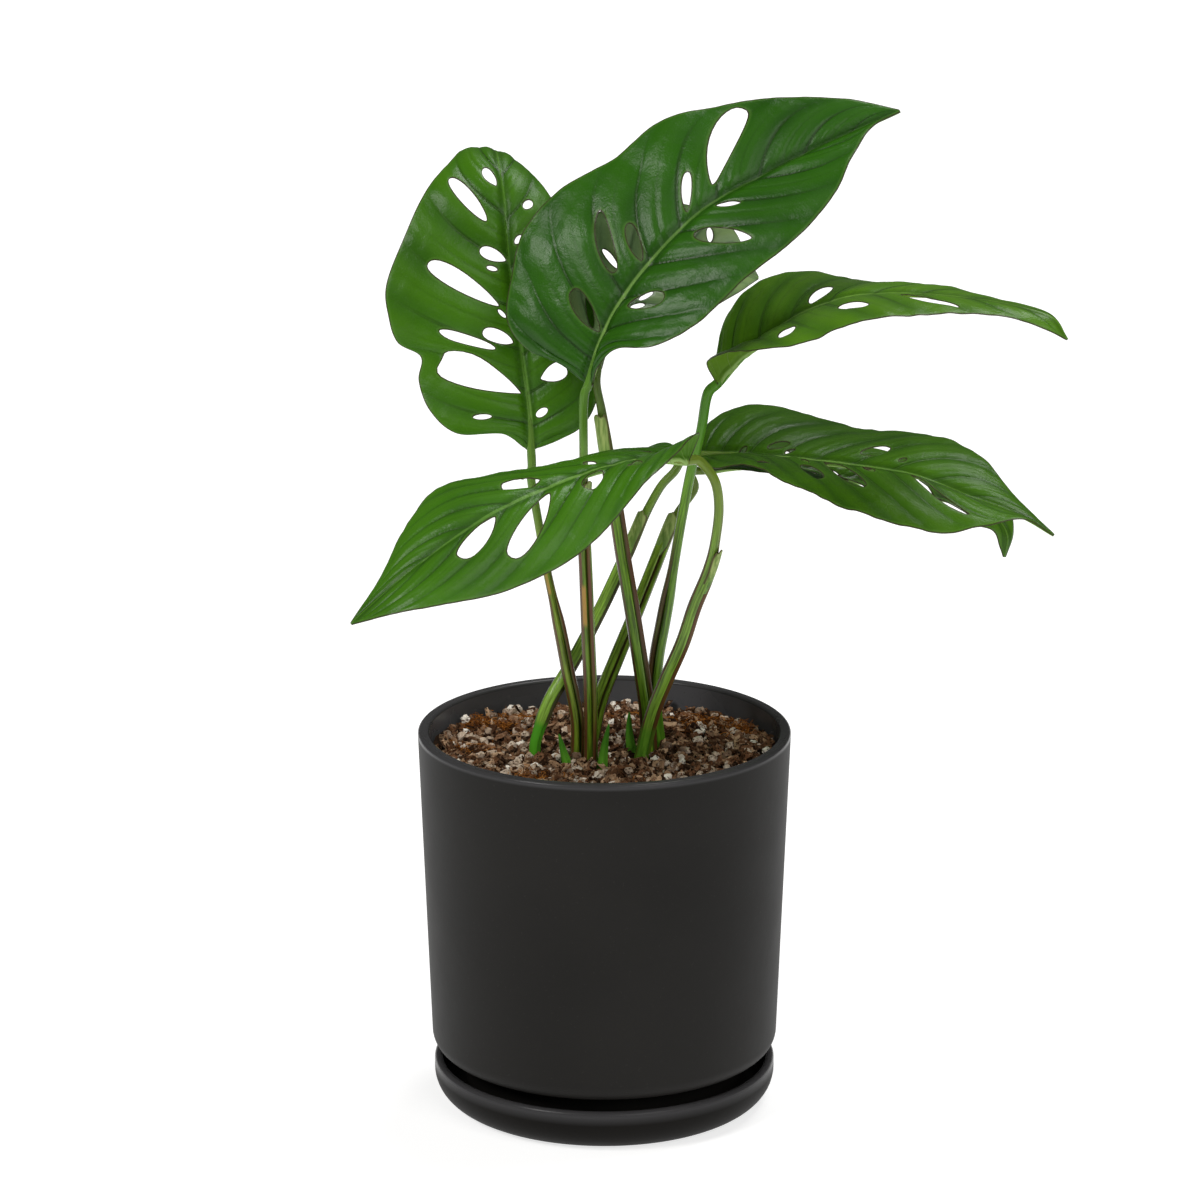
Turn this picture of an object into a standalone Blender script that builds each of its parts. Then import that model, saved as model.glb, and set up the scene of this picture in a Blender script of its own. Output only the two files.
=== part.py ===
"""Monstera adansonii in a straight ceramic pot on its saucer.

Run it with blender --background --python part.py, or from the text editor. Sizes are in
millimetres here and become metres when a mesh is made. The origin is the middle of the
saucer's underside, +Z is up and the plant is seen best from -Y.
"""

import math

import bmesh
import bpy
import numpy as np
from mathutils.geometry import delaunay_2d_cdt

MM = 0.001
GAP = 0.3  # left between pieces that touch

# Saucer
SAUCER_RADIUS = 76.4
SAUCER_HEIGHT = 19.8
SAUCER_WALL = 4.0
SAUCER_FLOOR = 6.0
SAUCER_CORNER = 13.5
SAUCER_INNER_CORNER = 4.0

# Pot
POT_RIM_RADIUS = 82.5
POT_TOP = 171.8
POT_BOTTOM_RADIUS = 77.3
POT_UNDERSIDE = 24.0
POT_CORNER = 8.0
POT_WALL = 5.0
POT_LIP_CORNER = 1.6
POT_FLOOR = 6.0
FOOT_RADIUS = 62.0
FOOT_WALL = 6.0
FOOT_RECESS = 2.5
DRAIN_RADIUS = 8.0
TURNED_SEGMENTS = 48

# Soil
SOIL_TOP = 160.0
SOIL_RELIEF = 1.6
SOIL_SEGMENTS = 32
SOIL_RINGS = (1.0, 0.86, 0.7, 0.54, 0.38, 0.22, 0.08)

# Leaves
BLADE_THICKNESS = 0.7
RIB_RADIUS = 2.0
RIB_TIP_RADIUS = 0.5
TIP_HALF_WIDTH = 0.8
QUILT_HEIGHT = 0.9
QUILT_FULL_WIDTH = 25.0
HALF_ARCH = 1.8
ARCH_FULL_WIDTH = 30.0
VEIN_SWEEP = 1.25
COLUMNS = (-1.0, -0.72, -0.42, -0.09, 0.0, 0.09, 0.42, 0.72, 1.0)
HOLE_POINTS = 8

# Stems
STEM_SIDES = 8
STEM_RINGS = 31
STEM_STRAIGHT_END = 7.0
STEM_END_GAP = 0.4
STEM_DEPTH = 20.0
STEM_FRONT = (0.1, -1.0, 0.0)  # the side that carries the channel
CHANNEL_DEPTH = 0.4  # as a share of the stem's radius
SHEATH_TAPER = 0.14
SHEATH_BLEND = 0.02
FLAP_RADII = (1.7, 1.6, 1.4, 1.2, 0.9)
FLAP_SIDES = 6
SHOOT_RADIUS = 2.4
SHOOT_DEPTH = 8.0
SHOOT_SIDES = 6
SHOOT_RINGS = 9

# Each blade hangs on three curves, base to tip: its midrib and its left and right margins, as
# seen on its upper face with the tip away from the eye. Each hole is (t, v, t, v, half width):
# the two ends of a slot in blade coordinates, t from base to tip and v from -1 at the left
# margin to 1 at the right.
LEAVES = {
    "a": {
        "midrib": [(-32, 6, 297), (-33, 10, 316), (-37, 19, 345), (-42, 30, 378), (-44, 41, 401),
                   (-47, 58, 415), (-48, 74, 416), (-45, 92, 404)],
        "left": [(-45, 3, 305), (-64, 2, 305), (-76, 7, 314), (-81, 13, 326),
                 (-80, 16, 336), (-90, 17, 342), (-94, 18, 353), (-95, 22, 367), (-87, 31, 387),
                 (-79, 41, 403), (-69, 54, 414), (-59, 70, 418), (-45, 92, 404)],
        "right": [(-19, 9, 301), (-9, 11, 307), (-3, 13, 319), (-1, 17, 339),
                  (-2, 22, 358), (-7, 30, 378), (-19, 42, 395), (-31, 58, 408), (-40, 76, 411),
                  (-45, 92, 404)],
        "veins": 9,
        "holes": [(0.215, -0.07, 0.32, -0.8, 6.6), (0.4, -0.63, 0.34, -0.25, 2.0),
                  (0.39, -0.29, 0.355, -0.07, 2.8), (0.545, -0.7, 0.45, -0.13, 4.0),
                  (0.58, -0.26, 0.56, -0.03, 2.7), (0.735, -0.77, 0.645, -0.21, 3.4),
                  (0.77, -0.28, 0.73, -0.1, 2.5), (0.675, 0.34, 0.695, 0.51, 2.0),
                  (0.25, 0.2, 0.275, 0.54, 3.9), (0.14, 0.11, 0.165, 0.28, 1.7),
                  (0.18, -0.65, 0.17, -0.46, 1.2)],
    },
    "b": {
        "midrib": [(-7, -20, 332), (-2, -18, 349), (7, -15, 367), (22, -10, 386), (43, -2, 405),
                   (71, 7, 419), (97, 13, 431), (127, 17, 444)],
        "left": [(-19, -15, 340), (-33, -9, 345), (-42, -4, 357), (-40, 2, 374),
                 (-35, 9, 393), (-19, 16, 410), (5, 21, 423), (24, 26, 438), (50, 29, 444),
                 (76, 29, 448), (104, 24, 448), (127, 17, 444)],
        "right": [(-2, -26, 342), (6, -33, 351), (21, -39, 353), (40, -38, 363),
                  (59, -31, 380), (81, -23, 396), (97, -13, 412), (106, 0, 428), (116, 10, 436),
                  (127, 17, 444)],
        "veins": 10,
        "holes": [(0.19, -0.05, 0.26, -0.41, 3.7), (0.335, -0.17, 0.42, -0.61, 3.6),
                  (0.39, -0.06, 0.435, -0.35, 2.6), (0.535, -0.08, 0.585, -0.38, 2.1),
                  (0.61, -0.15, 0.735, -0.9, 5.9), (0.585, 0.07, 0.615, 0.23, 1.7),
                  (0.5, 0.19, 0.55, 0.68, 3.9), (0.28, 0.18, 0.34, 0.46, 4.0)],
    },
    "c": {
        "midrib": [(49, 4, 327), (58, 2, 338), (69, -1, 347), (84, -5, 359), (105, -11, 368),
                   (128, -18, 371), (151, -25, 371), (172, -31, 369), (189, -36, 365),
                   (196, -39, 356)],
        "left": [(49, 14, 340), (54, 25, 353), (66, 32, 365), (88, 32, 371),
                 (107, 24, 369), (130, 15, 368), (153, 2, 368), (173, -16, 366),
                 (189, -31, 365), (196, -39, 356)],
        "right": [(44, -10, 340), (53, -24, 347), (68, -35, 351), (87, -42, 356),
                  (103, -45, 364), (125, -44, 367), (148, -42, 368), (171, -42, 366),
                  (186, -41, 361), (196, -39, 356)],
        "veins": 9,
        "holes": [(0.395, -0.1, 0.435, -0.45, 4.0), (0.475, 0.4, 0.545, 0.62, 3.0),
                  (0.365, 0.54, 0.33, 0.76, 2.8), (0.62, 0.22, 0.745, 0.72, 2.4)],
    },
    "d": {
        "midrib": [(35, -42, 304), (21, -52, 307), (2, -66, 307), (-19, -79, 303), (-44, -92, 295),
                   (-64, -101, 284), (-85, -108, 269), (-105, -113, 252)],
        "left": [(40, -50, 318), (28, -72, 313), (15, -90, 304), (-2, -103, 287),
                 (-21, -110, 274), (-45, -118, 266), (-68, -124, 263), (-86, -122, 259),
                 (-105, -113, 252)],
        "right": [(27, -27, 308), (15, -24, 304), (-2, -31, 304), (-27, -44, 301),
                  (-53, -58, 301), (-73, -72, 297), (-85, -88, 283), (-93, -100, 269),
                  (-105, -113, 252)],
        "veins": 10,
        "holes": [(0.49, 0.15, 0.56, 0.34, 4.0), (0.635, -0.06, 0.735, -0.35, 4.0),
                  (0.5, -0.1, 0.635, -0.64, 4.8), (0.355, -0.15, 0.42, -0.33, 3.6),
                  (0.26, -0.52, 0.285, -0.31, 2.2)],
    },
    "e": {
        "midrib": [(42, 20, 291), (57, 16, 292), (81, 9, 292), (111, -1, 291), (135, -10, 289),
                   (158, -19, 282), (179, -28, 276), (193, -34, 269)],
        "left": [(45, 38, 300), (56, 47, 305), (73, 48, 307), (96, 42, 302),
                 (117, 34, 299), (143, 21, 300), (163, 5, 295), (178, -15, 281),
                 (193, -34, 269)],
        "right": [(48, 4, 289), (61, -14, 295), (80, -28, 290), (101, -38, 283),
                  (122, -42, 277), (143, -42, 272), (163, -38, 274), (180, -34, 276),
                  (193, -34, 269)],
        "veins": 10,
        "holes": [(0.26, -0.11, 0.315, -0.25, 1.7), (0.365, 0.37, 0.42, 0.62, 3.2),
                  (0.425, 0.04, 0.53, 0.54, 4.0), (0.505, -0.22, 0.56, -0.43, 2.8),
                  (0.65, 0.04, 0.785, 0.67, 1.9)],
    },
    "f": {
        "midrib": [(-3, 6, 333), (-2, 9, 344), (6, 20, 356), (22, 38, 365), (41, 58, 369),
                   (56, 72, 365), (69, 84, 357)],
        "left": [(-12, 7, 340), (-17, 8, 350), (-18, 10, 365), (-13, 14, 384), (0, 24, 400),
                 (28, 46, 399), (54, 71, 385), (69, 84, 357)],
        "right": [(2, 8, 341), (10, 11, 344), (22, 16, 344), (37, 30, 349),
                  (52, 50, 353), (62, 68, 355), (69, 84, 357)],
        "veins": 8,
        "holes": [(0.175, -0.27, 0.235, -0.57, 1.4), (0.38, -0.4, 0.365, -0.68, 1.5),
                  (0.76, -0.42, 0.75, -0.7, 2.1), (0.345, 0.15, 0.395, 0.27, 1.5)],
    },
    "g": {
        "midrib": [(45, 32, 281), (60, 36, 282), (82, 41, 280), (110, 46, 273), (137, 48, 267),
                   (161, 48, 261), (174, 47, 256), (180, 45, 248), (179, 44, 238)],
        "left": [(51, 46, 286), (64, 60, 288), (88, 68, 287), (115, 71, 283),
                 (140, 68, 277), (162, 62, 271), (180, 54, 260), (183, 48, 249), (179, 44, 238)],
        "right": [(57, 18, 285), (75, 12, 284), (94, 11, 277), (117, 15, 268),
                  (139, 22, 260), (160, 32, 256), (173, 41, 251), (177, 44, 243),
                  (179, 44, 238)],
        "veins": 8,
        "holes": [(0.4, -0.2, 0.48, -0.6, 2.6), (0.56, 0.18, 0.62, 0.5, 2.4)],
    },
}

# Each stem runs from the soil's face towards its blade, through these points. Its radius is
# given at the soil and below the blade, and sheath is how far up its broad sheath goes, as a
# share of the stem. tip is the side on which the sheath's free end stands off.
STEMS = {
    "a": {"path": [(-12, -8, 160), (-12, -6, 178), (-16, -4, 199), (-20, -2, 220), (-25, 0, 243),
                   (-29, 2, 266), (-32, 4, 284)],
          "radius": (3.1, 1.9), "sheath": 0.55, "tip": None},
    "b": {"path": [(-6, -16, 160), (-6, -16, 189), (-7, -17, 217), (-8, -17, 244),
                   (-9, -18, 272), (-9, -19, 299)],
          "radius": (3.2, 1.9), "sheath": 0.74, "tip": (1, -0.4, 0)},
    "c": {"path": [(24, 13, 160), (22, 12, 181), (23, 11, 200), (26, 10, 218), (30, 9, 241),
                   (34, 8, 266), (38, 7, 288), (42, 6, 305)],
          "radius": (3.5, 2.2), "sheath": 0.5, "tip": None},
    "d": {"path": [(16, -10, 160), (21, -13, 182), (27, -16, 199), (34, -20, 217),
                   (39, -23, 234), (45, -27, 251), (48, -31, 268), (49, -34, 282),
                   (47, -37, 294)],
          "radius": (3.3, 2.1), "sheath": 0.68, "tip": (1, 0, 0.3)},
    "e": {"path": [(-31, -7, 160), (-30, -6, 169), (-24, -2, 185), (-14, 4, 201), (0, 10, 227),
                   (14, 15, 257), (24, 18, 276), (31, 19, 284)],
          "radius": (3.2, 1.9), "sheath": 0.75, "tip": (-1, 0, 0.3)},
    "f": {"path": [(20, 1, 160), (19, 1, 178), (17, 0, 194), (12, 0, 227), (8, 2, 251),
                   (5, 3, 271), (1, 5, 295), (-1, 6, 313)],
          "radius": (3.7, 1.8), "sheath": 0.86, "tip": (-1, -0.3, 0)},
    "g": {"path": [(-6, 16, 160), (-2, 17, 179), (5, 19, 197), (13, 22, 216), (21, 25, 236),
                   (27, 27, 251), (33, 29, 263), (40, 31, 273)],
          "radius": (3.6, 1.8), "sheath": 0.78, "tip": (-1, -0.2, 0.4)},
}

SHOOTS = {
    "left": [(-16, -19, 160), (-18, -19, 167), (-20, -19, 175)],
    "middle": [(-1, -23, 160), (0, -23, 170), (2, -23, 181)],
    "back": [(12, 4, 160), (11, 4, 169), (11, 4, 178)],
}


def material(name, colour, roughness, coat=0.0):
    made = bpy.data.materials.new(name)
    made.use_nodes = True
    shader = made.node_tree.nodes["Principled BSDF"]
    shader.inputs["Base Color"].default_value = (*colour, 1.0)
    shader.inputs["Roughness"].default_value = roughness
    shader.inputs["Metallic"].default_value = 0.0
    shader.inputs["Coat Weight"].default_value = coat
    return made


def add_object(name, bm, made_of, sharp_degrees=50.0):
    """Makes a mesh object from a bmesh in millimetres."""
    bmesh.ops.scale(bm, vec=(MM, MM, MM), verts=bm.verts)
    mesh = bpy.data.meshes.new(name)
    bm.to_mesh(mesh)
    bm.free()
    mesh.shade_smooth()
    mesh.set_sharp_from_angle(angle=math.radians(sharp_degrees))
    mesh.materials.append(made_of)
    added = bpy.data.objects.new(name, mesh)
    bpy.context.scene.collection.objects.link(added)
    return added


def helper(name, bm):
    """A shape that only cuts or adds to another one: shown as wires and never rendered."""
    made = add_object(name, bm, material(name, (1.0, 1.0, 1.0), 0.5))
    made.hide_render = True
    made.display_type = "WIRE"
    return made


def unit(vector):
    return vector / np.linalg.norm(vector, axis=-1, keepdims=True)


def arc(centre, radius, start_degrees, end_degrees, steps):
    """Points of a round corner in a turned profile, as (radius, height)."""
    angles = np.radians(np.linspace(start_degrees, end_degrees, steps + 1))
    return [(centre[0] + radius * math.cos(a), centre[1] + radius * math.sin(a)) for a in angles]


def smooth_curve(points, count):
    """A curve through the points (Catmull-Rom), as count points evenly spaced along it."""
    p = np.array(points, float)
    p = np.vstack([2 * p[0] - p[1], p, 2 * p[-1] - p[-2]])
    s = np.linspace(0, 1, 16, endpoint=False)[:, None]
    pieces = []
    for a, b, c, d in zip(p, p[1:], p[2:], p[3:]):
        pieces.append(0.5 * (2 * b + (c - a) * s + (2 * a - 5 * b + 4 * c - d) * s**2
                             + (3 * b - a - 3 * c + d) * s**3))
    dense = np.vstack([*pieces, p[-2:-1]])
    along = np.concatenate([[0], np.cumsum(np.linalg.norm(np.diff(dense, axis=0), axis=1))])
    wanted = np.linspace(0, along[-1], count)
    return np.stack([np.interp(wanted, along, dense[:, axis]) for axis in range(3)], axis=1)


# Turned pieces


def turned(name, profile, made_of, closed_on_axis=False):
    """A closed solid of revolution. The profile runs round the section with the solid on its left."""
    bm = bmesh.new()
    angles = np.linspace(0, 2 * math.pi, TURNED_SEGMENTS, endpoint=False)
    rings = []
    for radius, height in profile:
        rings.append([bm.verts.new((radius * math.cos(a), radius * math.sin(a), height))
                      for a in angles])
    pairs = list(zip(rings, rings[1:]))
    if not closed_on_axis:
        pairs.append((rings[-1], rings[0]))
    for low, high in pairs:
        for i in range(TURNED_SEGMENTS):
            j = (i + 1) % TURNED_SEGMENTS
            bm.faces.new((low[i], low[j], high[j], high[i]))
    if closed_on_axis:
        bm.faces.new(rings[0][::-1])
        bm.faces.new(rings[-1])
    bmesh.ops.recalc_face_normals(bm, faces=bm.faces)
    bmesh.ops.triangulate(bm, faces=[f for f in bm.faces if len(f.verts) > 4])
    return add_object(name, bm, made_of, sharp_degrees=35)


def saucer():
    wall_top = SAUCER_HEIGHT - SAUCER_WALL / 2
    inner = SAUCER_RADIUS - SAUCER_WALL
    profile = [(1.0, 0.0)]
    profile += arc((SAUCER_RADIUS - SAUCER_CORNER, SAUCER_CORNER), SAUCER_CORNER, -90, 0, 5)
    profile += arc((SAUCER_RADIUS - SAUCER_WALL / 2, wall_top), SAUCER_WALL / 2, 0, 180, 4)
    profile += arc((inner - SAUCER_INNER_CORNER, SAUCER_FLOOR + SAUCER_INNER_CORNER),
                   SAUCER_INNER_CORNER, 0, -90, 2)
    profile += [(1.0, SAUCER_FLOOR)]
    made_of = material("saucer ceramic", (0.022, 0.021, 0.021), 0.5)
    return turned("saucer", profile, made_of, closed_on_axis=True)


def pot_inner_radius(height):
    """The inside of the pot's straight wall."""
    share = (height - POT_UNDERSIDE) / (POT_TOP - POT_UNDERSIDE)
    return POT_BOTTOM_RADIUS - POT_WALL + share * (POT_RIM_RADIUS - POT_BOTTOM_RADIUS)


FOOT_BOTTOM = SAUCER_FLOOR + GAP
FLOOR_TOP = FOOT_BOTTOM + FOOT_RECESS + POT_FLOOR
SHOULDER = POT_UNDERSIDE + POT_WALL


def pot():
    profile = [(DRAIN_RADIUS, FLOOR_TOP), (DRAIN_RADIUS, FOOT_BOTTOM + FOOT_RECESS),
               (FOOT_RADIUS - FOOT_WALL, FOOT_BOTTOM + FOOT_RECESS),
               (FOOT_RADIUS - FOOT_WALL, FOOT_BOTTOM), (FOOT_RADIUS, FOOT_BOTTOM),
               (FOOT_RADIUS, POT_UNDERSIDE)]
    profile += arc((POT_BOTTOM_RADIUS - POT_CORNER, POT_UNDERSIDE + POT_CORNER), POT_CORNER,
                   -90, 0, 4)
    lip = POT_LIP_CORNER
    profile += arc((POT_RIM_RADIUS - lip, POT_TOP - lip), lip, 0, 90, 3)
    profile += arc((POT_RIM_RADIUS - POT_WALL + lip, POT_TOP - lip), lip, 90, 180, 3)
    profile += [(pot_inner_radius(SHOULDER), SHOULDER), (FOOT_RADIUS - FOOT_WALL, SHOULDER),
                (FOOT_RADIUS - FOOT_WALL, FLOOR_TOP)]
    made_of = material("pot ceramic", (0.024, 0.024, 0.026), 0.48)
    return turned("pot", profile, made_of)


# Soil


def clear_inside(radius):
    """The largest radius that stays GAP clear of the flats of a turned wall of this radius."""
    return radius * math.cos(math.pi / TURNED_SEGMENTS) - GAP


def soil_height(x, y):
    """The uneven top: lower in the middle of the back, higher at the sides, and lumpy."""
    bowl = 2.4 * (x / 76.0) ** 2 - 1.6 * (y / 76.0)
    lumps = math.sin(0.19 * x + 0.8) * math.cos(0.17 * y - 0.4) + math.sin(0.41 * y + 0.23 * x)
    return SOIL_TOP + bowl + 0.5 * SOIL_RELIEF * lumps


def soil(stem_cutters):
    """The mix: a body that fills the pot, with an uneven top and a plain hole for each stem."""
    bm = bmesh.new()
    angles = np.linspace(0, 2 * math.pi, SOIL_SEGMENTS, endpoint=False)
    inside = clear_inside(FOOT_RADIUS - FOOT_WALL)
    wall = [(inside, FLOOR_TOP + GAP), (inside, SHOULDER + GAP),
            (clear_inside(pot_inner_radius(SHOULDER)), SHOULDER + GAP)]
    rim_radius = clear_inside(pot_inner_radius(SOIL_TOP - SOIL_RELIEF))
    rings = []
    for radius, height in wall:
        rings.append([bm.verts.new((radius * math.cos(a), radius * math.sin(a), height))
                      for a in angles])
    for share in SOIL_RINGS:
        radius = rim_radius * share
        ring = []
        for a in angles:
            x, y = radius * math.cos(a), radius * math.sin(a)
            ring.append(bm.verts.new((x, y, soil_height(x, y))))
        rings.append(ring)
    for low, high in zip(rings, rings[1:]):
        for i in range(SOIL_SEGMENTS):
            j = (i + 1) % SOIL_SEGMENTS
            bm.faces.new((low[i], low[j], high[j], high[i]))
    bm.faces.new(rings[0][::-1])
    bm.faces.new(rings[-1])
    bmesh.ops.triangulate(bm, faces=bm.faces)
    bmesh.ops.recalc_face_normals(bm, faces=bm.faces)
    body = add_object("soil", bm, material("potting mix", (0.06, 0.032, 0.018), 0.95))
    for cutter in stem_cutters:
        cut = body.modifiers.new("stem hole", "BOOLEAN")
        cut.operation = "DIFFERENCE"
        cut.object = cutter
    return body


# Stems and shoots


def swept(centres, radii, sides, groove=None):
    """A closed tube along centres. groove is how deep the channel on its front side is, by ring."""
    bm = bmesh.new()
    tangents = unit(np.gradient(centres, axis=0))
    front = np.array(STEM_FRONT)
    rings = []
    for k, (centre, tangent, radius) in enumerate(zip(centres, tangents, radii)):
        ahead = unit(front - tangent * np.dot(front, tangent))
        side = np.cross(tangent, ahead)
        depth = 0.0 if groove is None else groove[k]
        ring = []
        for i in range(sides):
            angle = 2 * math.pi * i / sides
            reach = radius * (1 - depth if i == 0 else 1)
            point = centre + reach * (math.cos(angle) * ahead + math.sin(angle) * side)
            ring.append(bm.verts.new(point))
        rings.append(ring)
    for low, high in zip(rings, rings[1:]):
        for i in range(sides):
            j = (i + 1) % sides
            bm.faces.new((low[i], low[j], high[j], high[i]))
    bm.faces.new(rings[0][::-1])
    bm.faces.new(rings[-1])
    bmesh.ops.recalc_face_normals(bm, faces=bm.faces)
    return bm


def stem_path(name, count):
    """The stem's middle line, from its buried end to just short of its blade."""
    path = [np.array(p, float) for p in STEMS[name]["path"]]
    rise = unit(path[1] - path[0])
    buried = path[0] - rise * STEM_DEPTH
    midrib = smooth_curve(LEAVES[name]["midrib"], 60)
    heading = unit(midrib[1] - midrib[0])
    end = midrib[0] - heading * STEM_END_GAP
    return smooth_curve([buried, *path, end - heading * STEM_STRAIGHT_END, end], count)


def stem_radius(name, share):
    """The broad sheath below and the slim round stem above, with a short taper between them."""
    low, high = STEMS[name]["radius"]
    sheathed = 1 / (1 + math.exp((share - STEMS[name]["sheath"]) / SHEATH_BLEND))
    return high + (low * (1 - SHEATH_TAPER * share) - high) * sheathed


def sheath_tip(name, centres):
    """The free end of the sheath: a short blunt flap that stands off the stem, as a union piece."""
    shape = STEMS[name]
    low, high = shape["sheath"] - 0.07, shape["sheath"] + 0.035
    aside = unit(np.array(shape["tip"], float))
    run = []
    for share in np.linspace(low, high, len(FLAP_RADII)):
        at = share * (len(centres) - 1)
        k = int(at)
        centre = centres[k] + (at - k) * (centres[k + 1] - centres[k])
        stand_off = 0.6 + 2.6 * (share - low) / (high - low)
        run.append(centre + aside * stand_off)
    return helper(f"flap_{name}", swept(np.array(run), FLAP_RADII, FLAP_SIDES))


def stem(name):
    shape = STEMS[name]
    centres = stem_path(name, STEM_RINGS)
    shares = np.linspace(0, 1, STEM_RINGS)
    radii = [stem_radius(name, s) for s in shares]
    groove = [CHANNEL_DEPTH if 0.2 < s < shape["sheath"] - 0.04 else 0.0 for s in shares]
    made_of = material(f"stem {name} green", (0.10, 0.21, 0.035), 0.45)
    made = add_object(f"petiole_{name}", swept(centres, radii, STEM_SIDES, groove), made_of)
    if shape["tip"]:
        joined = made.modifiers.new("sheath tip", "BOOLEAN")
        joined.operation = "UNION"
        joined.object = sheath_tip(name, centres)
    return made


def stem_cutter(name):
    """The plain hole that a stem stands in: the stem's own line, a little wider."""
    centres = stem_path(name, 4 * STEM_RINGS)
    centres = centres[centres[:, 2] < SOIL_TOP + 9][::3]
    heading = unit(centres[1] - centres[0])
    centres = np.vstack([centres[0] - heading * GAP, centres])
    radius = (STEMS[name]["radius"][0] + GAP) / math.cos(math.pi / STEM_SIDES)
    return helper(f"cut_{name}", swept(centres, [radius] * len(centres), STEM_SIDES))


def shoot_curve(name, count):
    path = [np.array(p, float) for p in SHOOTS[name]]
    heading = unit(path[1] - path[0])
    return smooth_curve([path[0] - heading * SHOOT_DEPTH, *path], count)


def shoot(name):
    centres = shoot_curve(name, SHOOT_RINGS)
    shares = np.linspace(0, 1, SHOOT_RINGS)
    radii = SHOOT_RADIUS * np.sqrt(1 - shares**2 * 0.97)
    made_of = material(f"shoot {name} green", (0.1, 0.33, 0.03), 0.4)
    return add_object(f"shoot_{name}", swept(centres, radii, SHOOT_SIDES), made_of)


def shoot_cutter(name):
    centres = shoot_curve(name, SHOOT_RINGS)
    centres = centres[centres[:, 2] < SOIL_TOP + 7]
    heading = unit(centres[1] - centres[0])
    centres = np.vstack([centres[0] - heading * GAP, centres])
    radius = (SHOOT_RADIUS + GAP) / math.cos(math.pi / SHOOT_SIDES)
    return helper(f"cut_shoot_{name}", swept(centres, [radius] * len(centres), SHOOT_SIDES))


# Leaf blades


class Blade:
    """The middle surface of one blade, as a function of t (base to tip) and v (left to right)."""

    SAMPLES = 200

    def __init__(self, shape):
        self.veins = shape["veins"]
        self.midrib = smooth_curve(shape["midrib"], self.SAMPLES)
        self.tangent = unit(np.gradient(self.midrib, axis=0))
        heading = self.tangent[0]
        across = np.array(shape["right"][1], float) - np.array(shape["left"][1], float)
        across = unit(across - heading * np.dot(across, heading))
        self.base_normal = np.cross(across, heading)
        self.sides = {}
        for side, key in ((-1, "left"), (1, "right")):
            start = self.midrib[0] + side * RIB_RADIUS * across
            self.sides[side] = smooth_curve([start, *shape[key]], self.SAMPLES)
        fade = np.clip((np.linspace(0, 1, self.SAMPLES) - 0.9) / 0.1, 0, 1)[:, None]
        for side, rail in self.sides.items():
            aside = unit(np.cross(self.tangent[-1], self.chord_normal(side, 0.9)))
            rail += side * TIP_HALF_WIDTH * fade * aside

    def along(self, curve, share):
        at = share * (self.SAMPLES - 1)
        low = min(int(at), self.SAMPLES - 2)
        return curve[low] + (at - low) * (curve[low + 1] - curve[low])

    def chord_normal(self, side, t):
        station = t**VEIN_SWEEP
        chord = self.along(self.sides[side], t) - self.along(self.midrib, station)
        return unit(side * np.cross(chord, self.along(self.tangent, station)))

    def half_width(self, side, t):
        chord = self.along(self.sides[side], t) - self.along(self.midrib, t**VEIN_SWEEP)
        return float(np.linalg.norm(chord))

    def point(self, t, v):
        side = -1 if v < 0 else 1
        reach = abs(v)
        inner = self.along(self.midrib, t**VEIN_SWEEP)
        outer = self.along(self.sides[side], t)
        width = self.half_width(side, t)
        bump = HALF_ARCH * min(1.0, width / ARCH_FULL_WIDTH) * 4 * reach * (1 - reach)
        quilt = QUILT_HEIGHT * abs(math.sin(math.pi * self.veins * t)) ** 0.8
        bump += (quilt * min(1.0, width / QUILT_FULL_WIDTH)
                 * min(1.0, 3.2 * reach) * (1.15 - reach))
        return inner + (outer - inner) * reach + bump * self.chord_normal(side, t)

    def rib(self, t, v):
        """How far the raised midrib stands below the blade here."""
        radius = RIB_RADIUS + (RIB_TIP_RADIUS - RIB_RADIUS) * t
        off = abs(v) * self.half_width(-1 if v < 0 else 1, t)
        return math.sqrt(max(0.0, radius**2 - min(off, radius) ** 2)) if off < radius else 0.0


def hole_ring(blade, hole):
    """Points round one hole, in blade coordinates: an oval about the line between its ends."""
    t0, v0, t1, v1, half_width = hole
    middle = np.array([(t0 + t1) / 2, (v0 + v1) / 2])
    half = np.array([(t1 - t0) / 2, (v1 - v0) / 2])
    step = 0.01
    t, v = middle
    along_t = (blade.point(t + step, v) - blade.point(t - step, v)) / (2 * step)
    along_v = (blade.point(t, v + step) - blade.point(t, v - step)) / (2 * step)
    axis = along_t * half[0] + along_v * half[1]
    normal = unit(np.cross(along_t, along_v))
    aside = unit(np.cross(normal, axis)) * half_width
    solved = np.linalg.lstsq(np.stack([along_t, along_v], axis=1), aside, rcond=None)[0]
    ring = []
    for k in range(HOLE_POINTS):
        angle = 2 * math.pi * k / HOLE_POINTS
        ring.append(middle + half * math.cos(angle) + solved * math.sin(angle))
    return np.array(ring)


def inside_ring(point, ring):
    """True where the point is inside the closed outline."""
    inside = False
    for (x0, y0), (x1, y1) in zip(ring, np.roll(ring, -1, axis=0)):
        if (y0 > point[1]) != (y1 > point[1]):
            if point[0] < x0 + (point[1] - y0) * (x1 - x0) / (y1 - y0):
                inside = not inside
    return inside


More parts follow.
